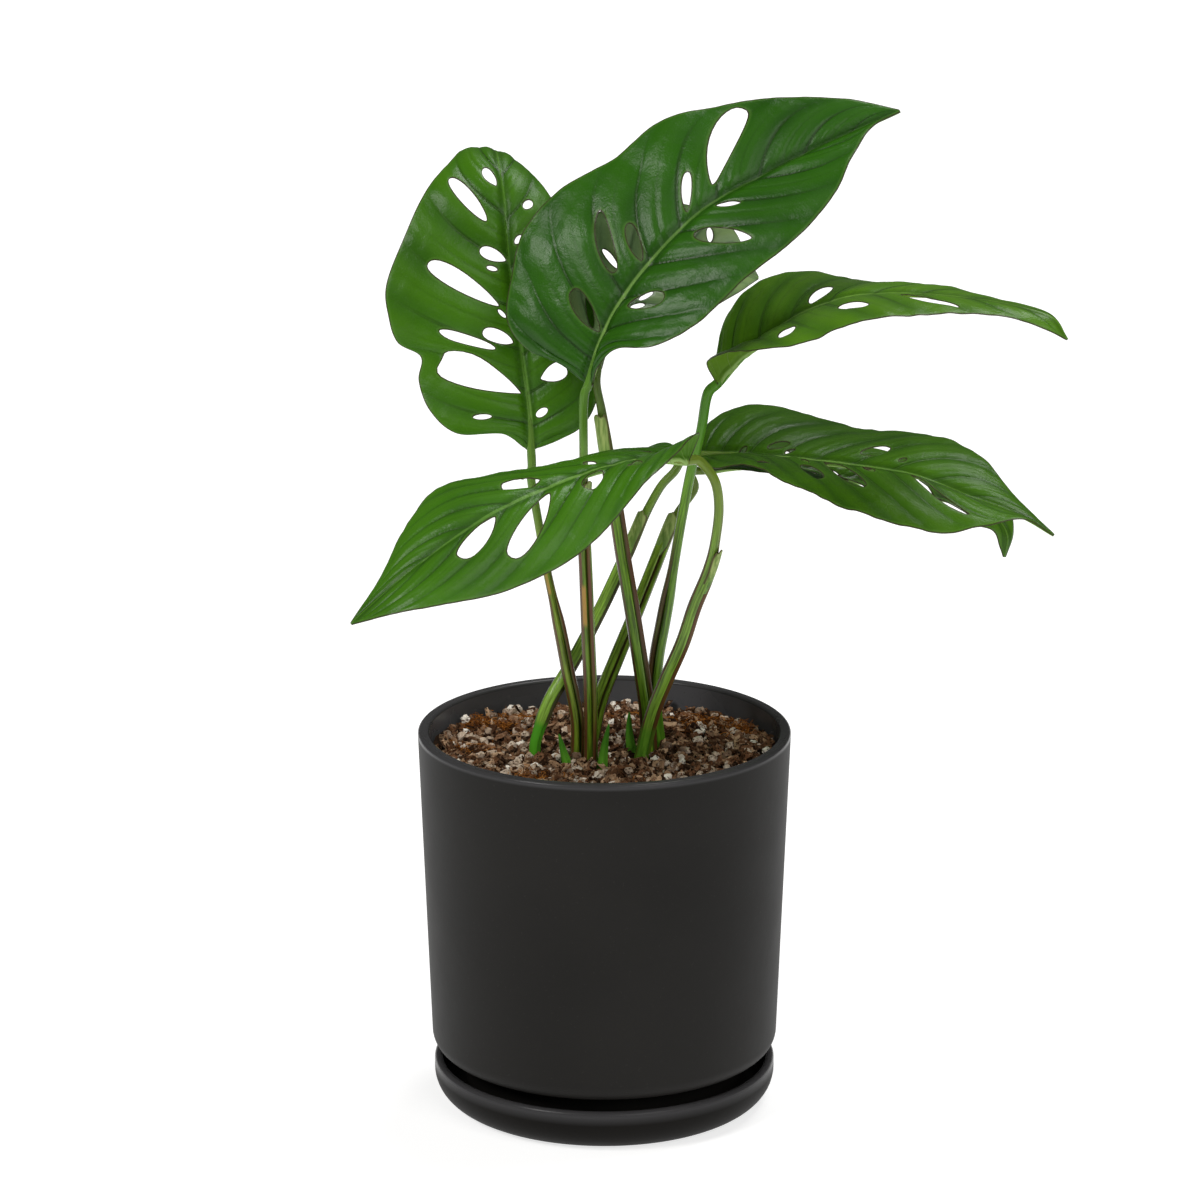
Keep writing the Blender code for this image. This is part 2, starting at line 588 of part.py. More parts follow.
def blade_triangles(rows, columns, rings):
    """Splits the blade's flat pattern into triangles round its holes, as (points, triangles)."""
    points, edges = [], []
    grown = [ring.mean(axis=0) + (ring - ring.mean(axis=0)) * 1.25 for ring in rings]
    number = {}
    for i, t in enumerate(rows):
        for j, v in enumerate(columns):
            if any(inside_ring((t, v), ring) for ring in grown):
                continue
            number[i, j] = len(points)
            points.append((t, v))
    for (i, j), here in number.items():
        if i in (0, len(rows) - 1) and (i, j + 1) in number:
            edges.append((here, number[i, j + 1]))
        if columns[j] in (-1.0, 0.0, 1.0) and (i + 1, j) in number:
            edges.append((here, number[i + 1, j]))
    for ring in rings:
        first = len(points)
        points += [tuple(p) for p in ring]
        count = len(ring)
        edges += [(first + k, first + (k + 1) % count) for k in range(count)]
    flat = delaunay_2d_cdt([(t * 4.0, v) for t, v in points], edges, [], 0, 1e-7)
    found = [(x / 4.0, y) for x, y in flat[0]]
    triangles = []
    for face in flat[2]:
        centre = np.mean([found[i] for i in face], axis=0)
        if not any(inside_ring(centre, ring) for ring in rings):
            triangles.append(face)
    return found, triangles


def leaf(name):
    shape = LEAVES[name]
    blade = Blade(shape)
    rows = np.linspace(0, 1, 2 * shape["veins"] + 1)
    rings = [hole_ring(blade, hole) for hole in shape["holes"]]
    pattern, triangles = blade_triangles(rows, COLUMNS, rings)
    sheet = bmesh.new()
    for t, v in pattern:
        sheet.verts.new(blade.point(t, v))
    sheet.verts.index_update()
    sheet.verts.ensure_lookup_table()
    for face in triangles:
        sheet.faces.new([sheet.verts[i] for i in face])
    sheet.normal_update()
    upward = blade.chord_normal(1, 0.5)
    middle_face = min(sheet.faces, key=lambda f: abs(pattern[f.verts[0].index][0] - 0.5)
                      + abs(pattern[f.verts[0].index][1] - 0.5))
    if np.dot(np.array(middle_face.normal), upward) < 0:
        bmesh.ops.reverse_faces(sheet, faces=sheet.faces)
        sheet.normal_update()
    solid = bmesh.new()
    top, bottom = [], []
    half = BLADE_THICKNESS / 2
    for vert, (t, v) in zip(sheet.verts, pattern):
        normal = np.array(vert.normal if t > 0 else blade.base_normal)
        middle = np.array(vert.co)
        top.append(solid.verts.new(middle + normal * half))
        bottom.append(solid.verts.new(middle - normal * (half + blade.rib(t, v))))
    for face in sheet.faces:
        corner = [v.index for v in face.verts]
        solid.faces.new([top[i] for i in corner])
        solid.faces.new([bottom[i] for i in reversed(corner)])
    for edge in sheet.edges:
        if edge.is_boundary:
            loop = edge.link_loops[0]
            a, b = loop.vert.index, loop.link_loop_next.vert.index
            solid.faces.new([top[b], top[a], bottom[a]])
            solid.faces.new([top[b], bottom[a], bottom[b]])
    sheet.free()
    made_of = material(f"leaf {name} green", (0.022, 0.12, 0.018), 0.38, coat=0.2)
    return add_object(f"leaf_{name}", solid, made_of, sharp_degrees=60)


def clear_scene():
    for old in list(bpy.data.objects):
        bpy.data.objects.remove(old, do_unlink=True)


def main():
    clear_scene()
    saucer()
    pot()
    cutters = [stem_cutter(name) for name in STEMS] + [shoot_cutter(name) for name in SHOOTS]
    soil(cutters)
    for name in STEMS:
        stem(name)
        leaf(name)
    for name in SHOOTS:
        shoot(name)


main()
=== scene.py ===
"""Monstera adansonii in a straight ceramic pot: the dressed model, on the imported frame.

Lengths are in millimetres here and become metres when a mesh is made. Every piece is in the
row's frame: the origin is the middle of the saucer's underside, +Z is up, and the camera looks
along +Y.
"""

import math
from collections import namedtuple
from types import SimpleNamespace

import bmesh
import bpy
import numpy as np
from mathutils import Matrix, Vector
from mathutils.geometry import delaunay_2d_cdt


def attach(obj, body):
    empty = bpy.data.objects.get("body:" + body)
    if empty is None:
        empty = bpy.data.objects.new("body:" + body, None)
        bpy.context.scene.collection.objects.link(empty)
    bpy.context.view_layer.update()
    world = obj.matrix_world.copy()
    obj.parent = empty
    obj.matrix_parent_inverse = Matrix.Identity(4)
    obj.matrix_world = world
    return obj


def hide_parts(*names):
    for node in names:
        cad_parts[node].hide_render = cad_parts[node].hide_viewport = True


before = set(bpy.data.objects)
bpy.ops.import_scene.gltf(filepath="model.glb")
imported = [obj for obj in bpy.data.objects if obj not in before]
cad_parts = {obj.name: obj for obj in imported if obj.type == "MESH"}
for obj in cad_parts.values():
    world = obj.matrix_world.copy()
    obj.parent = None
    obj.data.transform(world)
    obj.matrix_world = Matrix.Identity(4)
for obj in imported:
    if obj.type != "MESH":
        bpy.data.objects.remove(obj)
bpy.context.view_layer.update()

MM = 0.001
TAU = 2 * math.pi

# Camera: where it stands, how far it looks down, and its lens for a 36 mm sensor
EYE = (-1.95, -1942.6, 778.7)
PITCH_DOWN = 15.76
LENS = 138.0

# Light: the even light from all round, the glow of the white floor, and wide soft lights, each
# with the side it comes from, how wide it looks in degrees, its strength and its colour
WORLD_LIGHT = 0.1
FLOOR_GLOW = 0.72
SOFT_LIGHTS = (("key", (-0.8, -0.7, 0.95), 20, 1.5, (1.0, 0.985, 0.96)),
               ("fill", (0.6, -1.0, 0.8), 36, 0.9, (1.0, 0.98, 0.95)),
               ("top", (0.3, 0.25, 1.0), 26, 1.7, (1.0, 1.0, 1.0)))

# Saucer and pot, as in the CAD
SAUCER_RADIUS = 76.4
SAUCER_HEIGHT = 19.8
SAUCER_WALL = 4.0
SAUCER_FLOOR = 6.0
SAUCER_CORNER = 13.5
SAUCER_INNER_CORNER = 4.0
SAUCER_RINGS = (1.0, 30.0, 55.0)
POT_RIM_RADIUS = 82.5
POT_TOP = 171.8
POT_BOTTOM_RADIUS = 77.3
POT_UNDERSIDE = 24.0
POT_CORNER = 8.0
POT_WALL = 5.0
POT_LIP_CORNER = 1.6
POT_FLOOR = 6.0
FOOT_RADIUS = 62.0
FOOT_WALL = 6.0
FOOT_RECESS = 2.5
DRAIN_RADIUS = 8.0
GAP = 0.3
TURNED_SEGMENTS = 192

# Soil, as in the CAD: its middle height, how high its sides rise, how far it falls to the back
# over SOIL_SPAN, and the height of its lumps
SOIL_TOP = 160.0
SOIL_RISE = 2.4
SOIL_FALL = 1.6
SOIL_SPAN = 76.0
SOIL_RELIEF = 1.6
SOIL_RADIUS = 76.2
GRAIN_SHAPES = 12
FIBRE_STEPS = 9

# Blades: sizes, the heights of soft waves in the skin and along the margins, and line colours, among them
# an edge green that is painted light on the edges
BLADE_THICKNESS = 0.7
RIB_RADIUS = 2.0
RIB_TIP_RADIUS = 0.5
TIP_HALF_WIDTH = 0.8
HALF_ARCH = 1.8
VEIN_SWEEP = 1.25
LESSER_CREASE = 0.32
SKIN_WAVE = 0.22
MARGIN_WAVE = 0.9
GRID = 1.0
HOLE_POINTS = 28
SAMPLES = 400
VEIN_GREEN = (0.085, 0.20, 0.03)
RIB_GREEN = (0.24, 0.42, 0.10)
EDGE_HIGHLIGHT_GREEN = (0.09, 0.20, 0.03)
EDGE_BROWN = (0.035, 0.022, 0.012)

# Stems
STEM_SIDES = 36
STEM_RING_STEP = 1.3
STEM_DEPTH = 20.0
STEM_STRAIGHT_END = 7.0
MIDRIB_RUN = 20.0
FLAP_RINGS = 28
FLAP_COLUMNS = 13
FLAP_HALF_THICKNESS = 0.3
# The dark colour of painted shade in a sheath's channel
CHANNEL_SHADE = (0.03, 0.028, 0.008)
SCAR_TAN = (0.42, 0.24, 0.05)
FOOT_GREEN = (0.07, 0.30, 0.015)

# Each blade hangs on its midrib and its two margins, base to tip, left and right as seen on its
# upper face; the margins end at the midrib's tip. A hole is (t, v, t, v, half width, egg, bend):
# the ends of a slot in blade coordinates, how much blunter its first end is, and how far its middle
# bows aside. The look is the green of the upper face, how glossy it is (0 to 1), how far the side
# veins slope to the tip, how high it bulges between them (mm), how pale the thin line in each vein
# is (0 to 1), and how strong and how long the light midrib is.
Leaf = namedtuple("Leaf", "veins green gloss slope quilt line rib midrib left right holes")
LEAVES = {
    "a": Leaf(
        veins=9, green=(0.034, 0.126, 0.0035), gloss=0.34, slope=0.15, quilt=2.0, line=0.3, rib=(0.6, 0.4),
        midrib=[(-32, 6, 297), (-33, 10, 316), (-37, 19, 345), (-42, 30, 378), (-44, 41, 401),
            (-47, 58, 415), (-48, 74, 416), (-45, 92, 404)],
        left=[(-45, 3, 305), (-64, 2, 305), (-76, 7, 314), (-81, 13, 326), (-80, 16, 336), (-90, 17, 342),
            (-94, 18, 353), (-95, 22, 367), (-87, 31, 387), (-79, 41, 403), (-69, 54, 414), (-59, 70, 418)],
        right=[(-19, 9, 301), (-9, 11, 307), (-3, 13, 319), (-1, 17, 339), (-2, 22, 358), (-7, 30, 378),
            (-19, 42, 395), (-31, 58, 408), (-40, 76, 411)],
        holes=[(0.32, -0.8, 0.215, -0.07, 6.6, 0.45, 0.5), (0.34, -0.25, 0.4, -0.63, 2.0),
            (0.39, -0.29, 0.355, -0.07, 2.8, 0.2), (0.545, -0.7, 0.45, -0.13, 4.0, 0.2, 0.6),
            (0.58, -0.26, 0.56, -0.03, 2.7, 0.2), (0.735, -0.77, 0.645, -0.21, 3.4, 0.1, 0.6),
            (0.77, -0.28, 0.73, -0.1, 2.5, 0.2), (0.695, 0.51, 0.675, 0.34, 2.0),
            (0.275, 0.54, 0.25, 0.2, 3.9, 0.4), (0.165, 0.28, 0.14, 0.11, 1.7),
            (0.17, -0.46, 0.18, -0.65, 1.2), (0.595, 0.11, 0.61, 0.22, 1.4),
            (0.54, -0.2, 0.535, -0.11, 1.0), (0.44, -0.14, 0.42, -0.09, 0.9)]),
    "b": Leaf(
        veins=10, green=(0.015, 0.080, 0.0015), gloss=0.47, slope=0.19, quilt=2.0, line=0.15,
        rib=(0.95, 0.75),
        midrib=[(-7, -20, 332), (-2, -18, 349), (7, -15, 367), (22, -10, 386), (43, -2, 405), (71, 7, 419),
            (97, 13, 431), (127, 17, 444)],
        left=[(-19, -15, 340), (-33, -9, 345), (-42, -4, 357), (-40, 2, 374), (-35, 9, 393), (-19, 16, 410),
            (5, 21, 423), (24, 26, 438), (50, 29, 444), (76, 29, 448), (104, 24, 448)],
        right=[(-2, -26, 342), (6, -33, 351), (21, -39, 353), (40, -38, 363), (59, -31, 380),
            (81, -23, 396), (97, -13, 412), (106, 0, 427), (115, 12, 438)],
        holes=[(0.26, -0.41, 0.19, -0.05, 3.7, 0.3), (0.42, -0.61, 0.335, -0.17, 3.6, -0.2),
            (0.435, -0.35, 0.39, -0.06, 2.6, 0.1), (0.585, -0.38, 0.535, -0.08, 2.1, 0.2),
            (0.735, -0.9, 0.61, -0.15, 5.9, 0.3), (0.615, 0.23, 0.585, 0.07, 1.7),
            (0.55, 0.68, 0.5, 0.19, 3.9, -0.2), (0.34, 0.46, 0.28, 0.18, 4.0, 0.2)]),
    "c": Leaf(
        veins=9, green=(0.055, 0.160, 0.007), gloss=0.4, slope=0.13, quilt=1.3, line=0.6, rib=(0.6, 0.9),
        midrib=[(49, 4, 327), (58, 2, 338), (69, -1, 347), (84, -5, 359), (105, -11, 368), (128, -18, 371),
            (151, -25, 371), (172, -31, 369), (189, -36, 365), (196, -39, 356)],
        left=[(49, 14, 340), (54, 25, 353), (66, 32, 365), (88, 32, 371), (107, 24, 369), (130, 15, 368),
            (153, 2, 368), (173, -16, 366), (189, -31, 365)],
        right=[(44, -10, 340), (53, -24, 347), (68, -35, 351), (87, -42, 356), (103, -45, 364),
            (125, -44, 367), (148, -42, 368), (171, -42, 366), (186, -41, 361)],
        holes=[(0.435, -0.45, 0.395, -0.1, 4.0, 0.1), (0.545, 0.62, 0.475, 0.4, 3.0),
            (0.33, 0.76, 0.365, 0.54, 2.8), (0.745, 0.72, 0.62, 0.22, 2.4)]),
    "d": Leaf(
        veins=10, green=(0.032, 0.122, 0.004), gloss=0.4, slope=0.32, quilt=1.7, line=0.45, rib=(0.6, 0.9),
        midrib=[(35, -42, 304), (21, -52, 307), (2, -66, 307), (-19, -79, 303), (-44, -92, 295),
            (-64, -101, 284), (-85, -108, 269), (-105, -113, 252)],
        left=[(40, -50, 318), (28, -72, 313), (15, -90, 304), (-2, -103, 287), (-21, -110, 274),
            (-45, -118, 266), (-68, -124, 263), (-86, -122, 259)],
        right=[(27, -27, 308), (15, -24, 304), (-2, -31, 304), (-27, -44, 301), (-53, -58, 301),
            (-73, -72, 297), (-85, -88, 283), (-93, -100, 269)],
        holes=[(0.56, 0.34, 0.49, 0.15, 4.0, 0.2), (0.735, -0.35, 0.635, -0.06, 4.0, 0.3),
            (0.635, -0.64, 0.5, -0.1, 4.8, 0.3), (0.42, -0.33, 0.355, -0.15, 3.6, 0.2),
            (0.26, -0.52, 0.285, -0.31, 2.2), (0.33, 0.19, 0.35, 0.3, 1.2),
            (0.185, 0.25, 0.16, 0.15, 0.8)]),
    "e": Leaf(
        veins=10, green=(0.036, 0.115, 0.005), gloss=0.15, slope=0.21, quilt=1.2, line=0.7, rib=(0.8, 0.9),
        midrib=[(42, 20, 291), (57, 16, 292), (81, 9, 292), (111, -1, 291), (135, -10, 289),
            (158, -19, 282), (179, -28, 276), (193, -34, 269)],
        left=[(45, 38, 300), (56, 47, 305), (73, 48, 307), (96, 42, 302), (117, 34, 299), (143, 21, 300),
            (163, 5, 295), (178, -15, 281)],
        right=[(48, 4, 289), (61, -14, 295), (80, -28, 290), (101, -38, 283), (122, -42, 277),
            (143, -42, 272), (163, -38, 274), (180, -34, 276)],
        holes=[(0.315, -0.25, 0.26, -0.11, 1.7), (0.42, 0.62, 0.365, 0.37, 3.2, 0.2),
            (0.53, 0.54, 0.425, 0.04, 4.0, 0.2), (0.56, -0.43, 0.505, -0.22, 2.8),
            (0.785, 0.67, 0.65, 0.04, 1.9), (0.165, 0.03, 0.195, -0.12, 0.9),
            (0.31, -0.08, 0.335, -0.16, 0.9), (0.365, 0.15, 0.38, 0.24, 1.4),
            (0.24, 0.78, 0.275, 0.68, 0.9), (0.53, 0.03, 0.555, 0.15, 1.8),
            (0.605, -0.17, 0.615, -0.25, 0.9)]),
    # f's green is partly its own pale grey-green and partly painted light, lighter to make up for b's
    # shadow on it
    "f": Leaf(
        veins=8, green=(0.160, 0.270, 0.120), gloss=0.6, slope=0.17, quilt=1.2, line=0.3, rib=(0.2, 0.8),
        midrib=[(-3, 6, 333), (-2, 9, 344), (6, 20, 356), (22, 38, 365), (41, 58, 369), (56, 72, 365),
            (69, 84, 357)],
        left=[(-12, 7, 340), (-17, 8, 350), (-18, 10, 365), (-13, 14, 384), (0, 24, 400), (28, 46, 399),
            (54, 71, 385)],
        right=[(2, 8, 341), (10, 11, 344), (22, 16, 344), (37, 30, 349), (52, 50, 353), (62, 68, 355)],
        holes=[(0.235, -0.57, 0.175, -0.27, 1.3), (0.365, -0.68, 0.38, -0.4, 1.5),
            (0.75, -0.7, 0.76, -0.42, 2.1), (0.4, 0.14, 0.465, 0.17, 1.3),
            (0.345, 0.15, 0.395, 0.27, 1.5)]),
    "g": Leaf(
        veins=8, green=(0.040, 0.120, 0.008), gloss=0.2, slope=0.20, quilt=1.2, line=0.5, rib=(0.5, 0.8),
        midrib=[(45, 32, 281), (60, 36, 282), (82, 41, 280), (110, 46, 273), (137, 48, 267), (161, 48, 261),
            (174, 47, 256), (180, 45, 248), (179, 44, 238)],
        left=[(51, 46, 286), (64, 60, 288), (88, 68, 287), (115, 71, 283), (140, 68, 277), (162, 62, 271),
            (180, 54, 260), (183, 48, 249)],
        right=[(57, 18, 285), (75, 12, 284), (94, 11, 277), (117, 15, 268), (139, 22, 260), (160, 32, 256),
            (173, 41, 251), (177, 44, 243)],
        holes=[(0.48, -0.6, 0.4, -0.2, 2.6, 0.2), (0.62, 0.5, 0.56, 0.18, 2.4, 0.2),
            (0.3, -0.38, 0.35, -0.14, 2.0), (0.44, -0.08, 0.53, 0.38, 3.8),
            (0.525, -0.36, 0.58, -0.16, 2.0), (0.645, -0.39, 0.815, 0.6, 2.8),
            (0.355, 0.02, 0.38, 0.42, 2.4)]),
}

# Stems: the path from the soil's face, radius at the soil and below the blade, the share of the
# stem that its sheath covers, and the side on which the sheath's free end stands off. Angles round
# a stem start at its front and grow to the right: turn is that of the sheath's channel, bands are
# those of the brown-red stripes with their half widths, and scar is a tan mark (from, to, angle).
# foot tells how fresh a green the foot is, and top is the green below the blade.
Stem = namedtuple("Stem", "path radius sheath turn bands green red top foot scar tip",
                  defaults=(0.0, None, None))
STEMS = {
    "a": Stem(path=[(-12, -8, 160), (-12, -6, 178), (-16, -4, 199), (-20, -2, 220), (-25, 0, 243),
        (-29, 2, 266), (-32, 4, 284)],
        radius=(3.1, 1.9), sheath=0.55, turn=0.45, bands=[(-0.95, 0.38), (1.0, 0.42)],
        green=(0.12, 0.18, 0.015), red=(0.095, 0.032, 0.012), top=(0.09, 0.20, 0.03),
        scar=(0.59, 0.68, -0.45)),
    "b": Stem(path=[(-6, -16, 160), (-6, -16, 189), (-7, -17, 217), (-8, -17, 244), (-9, -18, 272),
        (-9, -19, 299)],
        radius=(3.2, 1.9), sheath=0.74, turn=0.15, bands=[(-1.0, 0.45), (0.5, 0.28)],
        green=(0.085, 0.155, 0.009), red=(0.12, 0.04, 0.018), top=(0.10, 0.24, 0.03),
        scar=(0.43, 0.54, -0.5), tip=(0.8, -0.7, 0)),
    "c": Stem(path=[(24, 13, 160), (22, 12, 181), (23, 11, 200), (26, 10, 218), (30, 9, 241), (34, 8, 266),
        (38, 7, 288), (42, 6, 305)],
        radius=(3.5, 2.2), sheath=0.5, turn=-0.5, bands=[(-0.95, 0.45)], green=(0.085, 0.18, 0.012),
        red=(0.08, 0.035, 0.012), top=(0.08, 0.26, 0.02), foot=0.3),
    "d": Stem(path=[(16, -10, 160), (21, -13, 182), (27, -16, 199), (34, -20, 217), (39, -23, 234),
        (45, -27, 251), (48, -31, 268), (49, -34, 282), (47, -37, 294)],
        radius=(3.3, 2.1), sheath=0.68, turn=0.7, bands=[(1.0, 0.25), (-1.15, 0.25)],
        green=(0.13, 0.24, 0.025), red=(0.11, 0.04, 0.015), top=(0.14, 0.20, 0.02), foot=0.45,
        tip=(1, -0.7, 0.2)),
    "e": Stem(path=[(-31, -7, 160), (-30, -6, 169), (-24, -2, 185), (-14, 4, 201), (0, 10, 227),
        (14, 15, 257), (24, 18, 276), (31, 19, 284)],
        radius=(3.2, 1.9), sheath=0.75, turn=0.8, bands=[(1.15, 0.25)], green=(0.14, 0.25, 0.03),
        red=(0.07, 0.06, 0.02), top=(0.12, 0.20, 0.03), foot=1.0, tip=(-0.6, -1, 0.2)),
    "f": Stem(path=[(20, 1, 160), (19, 1, 178), (17, 0, 194), (12, 0, 227), (8, 2, 251), (5, 3, 271),
        (1, 5, 295), (-1, 6, 313)],
        radius=(3.7, 1.8), sheath=0.86, turn=0.55, bands=[(-1.05, 0.3), (0.95, 0.32)],
        green=(0.10, 0.20, 0.012), red=(0.09, 0.03, 0.012), top=(0.08, 0.14, 0.02), tip=(-0.45, -1, 0)),
    "g": Stem(path=[(-6, 16, 160), (-2, 17, 179), (5, 19, 197), (13, 22, 216), (21, 25, 236), (27, 27, 251),
        (33, 29, 263), (40, 31, 273)],
        radius=(3.6, 1.8), sheath=0.78, turn=0.2, bands=[(0.15, 0.3), (1.1, 0.3)], green=(0.14, 0.24, 0.02),
        red=(0.07, 0.03, 0.012), top=(0.12, 0.19, 0.02), foot=0.1, tip=(-0.5, -1, 0.2)),
}

SHOOTS = {
    "left": [(-16, -19, 160), (-18, -19, 167), (-20, -19, 175)],
    "middle": [(-1, -23, 160), (0, -23, 170), (2, -23, 181)],
    "back": [(12, 4, 160), (11, 4, 169), (11, 4, 178)],
}


# Helpers for curves and meshes


def unit(vector):
    return vector / np.maximum(np.linalg.norm(vector, axis=-1, keepdims=True), 1e-9)


def bell(value, middle, width):
    """1 at the middle, and falling off softly on both sides of it."""
    return np.exp(-(((value - middle) / width) ** 2))


def falling(value, at, width):
    """1 well below a place and 0 well above it, with a soft step between."""
    return 1 / (1 + np.exp((value - at) / width))


def run_along(points):
    """Distance along a line of points, from its start."""
    return np.concatenate([[0], np.cumsum(np.linalg.norm(np.diff(points, axis=0), axis=1))])


def all_round(count, start=-math.pi):
    """Evenly spaced angles of one full turn."""
    return np.linspace(start, start + TAU, count, endpoint=False)


def smooth_curve(points, count):
    """A curve through the points (Catmull-Rom), as count points evenly spaced along it."""
    p = np.array(points, float)
    p = np.vstack([2 * p[0] - p[1], p, 2 * p[-1] - p[-2]])
    s = np.linspace(0, 1, 16, endpoint=False)[:, None]
    pieces = []
    for a, b, c, d in zip(p, p[1:], p[2:], p[3:]):
        pieces.append(0.5 * (2 * b + (c - a) * s + (2 * a - 5 * b + 4 * c - d) * s**2
                             + (3 * b - a - 3 * c + d) * s**3))
    dense = np.vstack([*pieces, p[-2:-1]])
    along = run_along(dense)
    wanted = np.linspace(0, along[-1], count)
    return np.stack([np.interp(wanted, along, dense[:, axis]) for axis in range(3)], axis=1)


def arc(centre, radius, start_degrees, end_degrees, steps):
    angles = np.radians(np.linspace(start_degrees, end_degrees, steps + 1))
    return [(centre[0] + radius * math.cos(a), centre[1] + radius * math.sin(a)) for a in angles]


def ring_faces(rings, sides, closed=False):
    """Quads between rings of points. The last ring joins the first, or both get an end face."""
    faces = []
    for low in range(rings if closed else rings - 1):
        high = (low + 1) % rings
        for i in range(sides):
            j = (i + 1) % sides
            faces.append((low * sides + i, low * sides + j, high * sides + j, high * sides + i))
    if not closed:
        faces.append(tuple(range(sides))[::-1])
        faces.append(tuple(range((rings - 1) * sides, rings * sides)))
    return faces


def sheet_faces(front, count):
    """Faces of a thin sheet: its front, its back (count points further on) and the wall between."""
    back = [[i + count for i in face[::-1]] for face in front]
    runs = [run for face in front for run in zip(face, [*face[1:], face[0]])]
    known = set(runs)
    walls = [(q, p, p + count, q + count) for p, q in runs if (q, p) not in known]
    return front + back + walls


def add_object(name, data):
    made = bpy.data.objects.new(name, data)
    bpy.context.scene.collection.objects.link(made)
    return made


def add_piece(name, points, faces, materials, node=None, attributes=None, face_slots=None,
              sharp_degrees=50.0):
    """Makes a mesh piece from points in millimetres, and hangs it on the frame."""
    mesh = bpy.data.meshes.new(name)
    mesh.from_pydata((np.asarray(points) * MM).tolist(), [], [list(f) for f in faces])
    for key, values in (attributes or {}).items():
        values = np.asarray(values, np.float32)
        kind, field = ("FLOAT", "value") if values.ndim == 1 else ("FLOAT_VECTOR", "vector")
        mesh.attributes.new(key, kind, "POINT").data.foreach_set(field, values.ravel())
    for made in materials:
        mesh.materials.append(made)
    if face_slots is not None:
        mesh.polygons.foreach_set("material_index", np.asarray(face_slots, np.int32))
    mesh.shade_smooth()
    mesh.set_sharp_from_angle(angle=math.radians(sharp_degrees))
    mesh.update()
    piece = add_object(name, mesh)
    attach(piece, "root")
    if node:
        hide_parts(node)


def smooth_noise(points, scale, seed, octaves=3):
    """Soft random values, one per point, from sums of sine waves in random directions."""
    rng = np.random.default_rng(seed)
    total = np.zeros(len(points))
    for octave in range(octaves):
        for _ in range(4):
            wave = unit(rng.normal(size=3)) * TAU / scale * 2**octave
            total += np.sin(points @ wave + rng.uniform(0, 6.28)) / 2**octave
    return total / 5.0


# Helpers for shader nodes


class Shader:
    """A Principled material whose inputs are fed by small node expressions."""

    def __init__(self, name, roughness=0.5, specular=0.22):
        self.material = bpy.data.materials.new(name)
        self.material.use_nodes = True
        self.tree = self.material.node_tree
        self.inputs = self.tree.nodes["Principled BSDF"].inputs
        self.inputs["Roughness"].default_value = roughness
        self.inputs["Specular IOR Level"].default_value = specular

    def node(self, kind, **settings):
        made = self.tree.nodes.new("ShaderNode" + kind)
        for key, value in settings.items():
            setattr(made, key, value)
        return made

    def feed(self, socket, value):
        if isinstance(value, bpy.types.NodeSocket):
            self.tree.links.new(value, socket)
        else:
            socket.default_value = value

    def feed_all(self, made, values):
        for socket, value in zip(made.inputs, values):
            self.feed(socket, value)
        return made.outputs[0]

    def math(self, operation, *values):
        return self.feed_all(self.node("Math", operation=operation), values)

    def times(self, a, b):
        return self.math("MULTIPLY", a, b)

    def apart(self, a, b=0.0):
        return self.math("ABSOLUTE", self.math("SUBTRACT", a, b))

    def ramp(self, value, low, high, out_low=0.0, out_high=1.0):
        """A smooth step of value from low to high."""
        made = self.node("MapRange", interpolation_type="SMOOTHSTEP")
        return self.feed_all(made, (value, low, high, out_low, out_high))

    def attribute(self, name, output="Fac"):
        return self.node("Attribute", attribute_name=name).outputs[output]

    def place(self):
        return self.node("TexCoord").outputs["Object"]

    def texture(self, kind, vector, **numbers):
        made = self.node(kind)
        for key, number in numbers.items():
            made.inputs[key].default_value = number
        self.feed(made.inputs["Vector"], self.place() if vector is None else vector)
        return made.outputs[0]

    def noise(self, scale, detail=3.0, roughness=0.5, vector=None):
        return self.texture("TexNoise", vector, Scale=scale, Detail=detail,
                            Roughness=roughness)

    def mix(self, share, a, b):
        made = self.node("Mix", data_type="RGBA")
        self.feed(made.inputs[0], share)
        for socket, value in ((made.inputs[6], a), (made.inputs[7], b)):
            self.feed(socket, value if isinstance(value, bpy.types.NodeSocket) else (*value, 1.0))
        return made.outputs[2]

    def bump(self, height, distance, strength, normal=None):
        made = self.node("Bump")
        made.inputs["Distance"].default_value = distance
        made.inputs["Strength"].default_value = strength
        self.feed(made.inputs["Height"], height)
        if normal is not None:
            self.feed(made.inputs["Normal"], normal)
        return made.outputs["Normal"]

    def paint(self, share, colour):
        """Lays a colour over the colour so far."""
        self.colour = self.mix(share, self.colour, colour)

    def finish(self, normal=None, rough=None):
        for key, value in (("Base Color", self.colour), ("Normal", normal), ("Roughness", rough)):
            if value is not None:
                self.feed(self.inputs[key], value)
        return self.material


# Blades


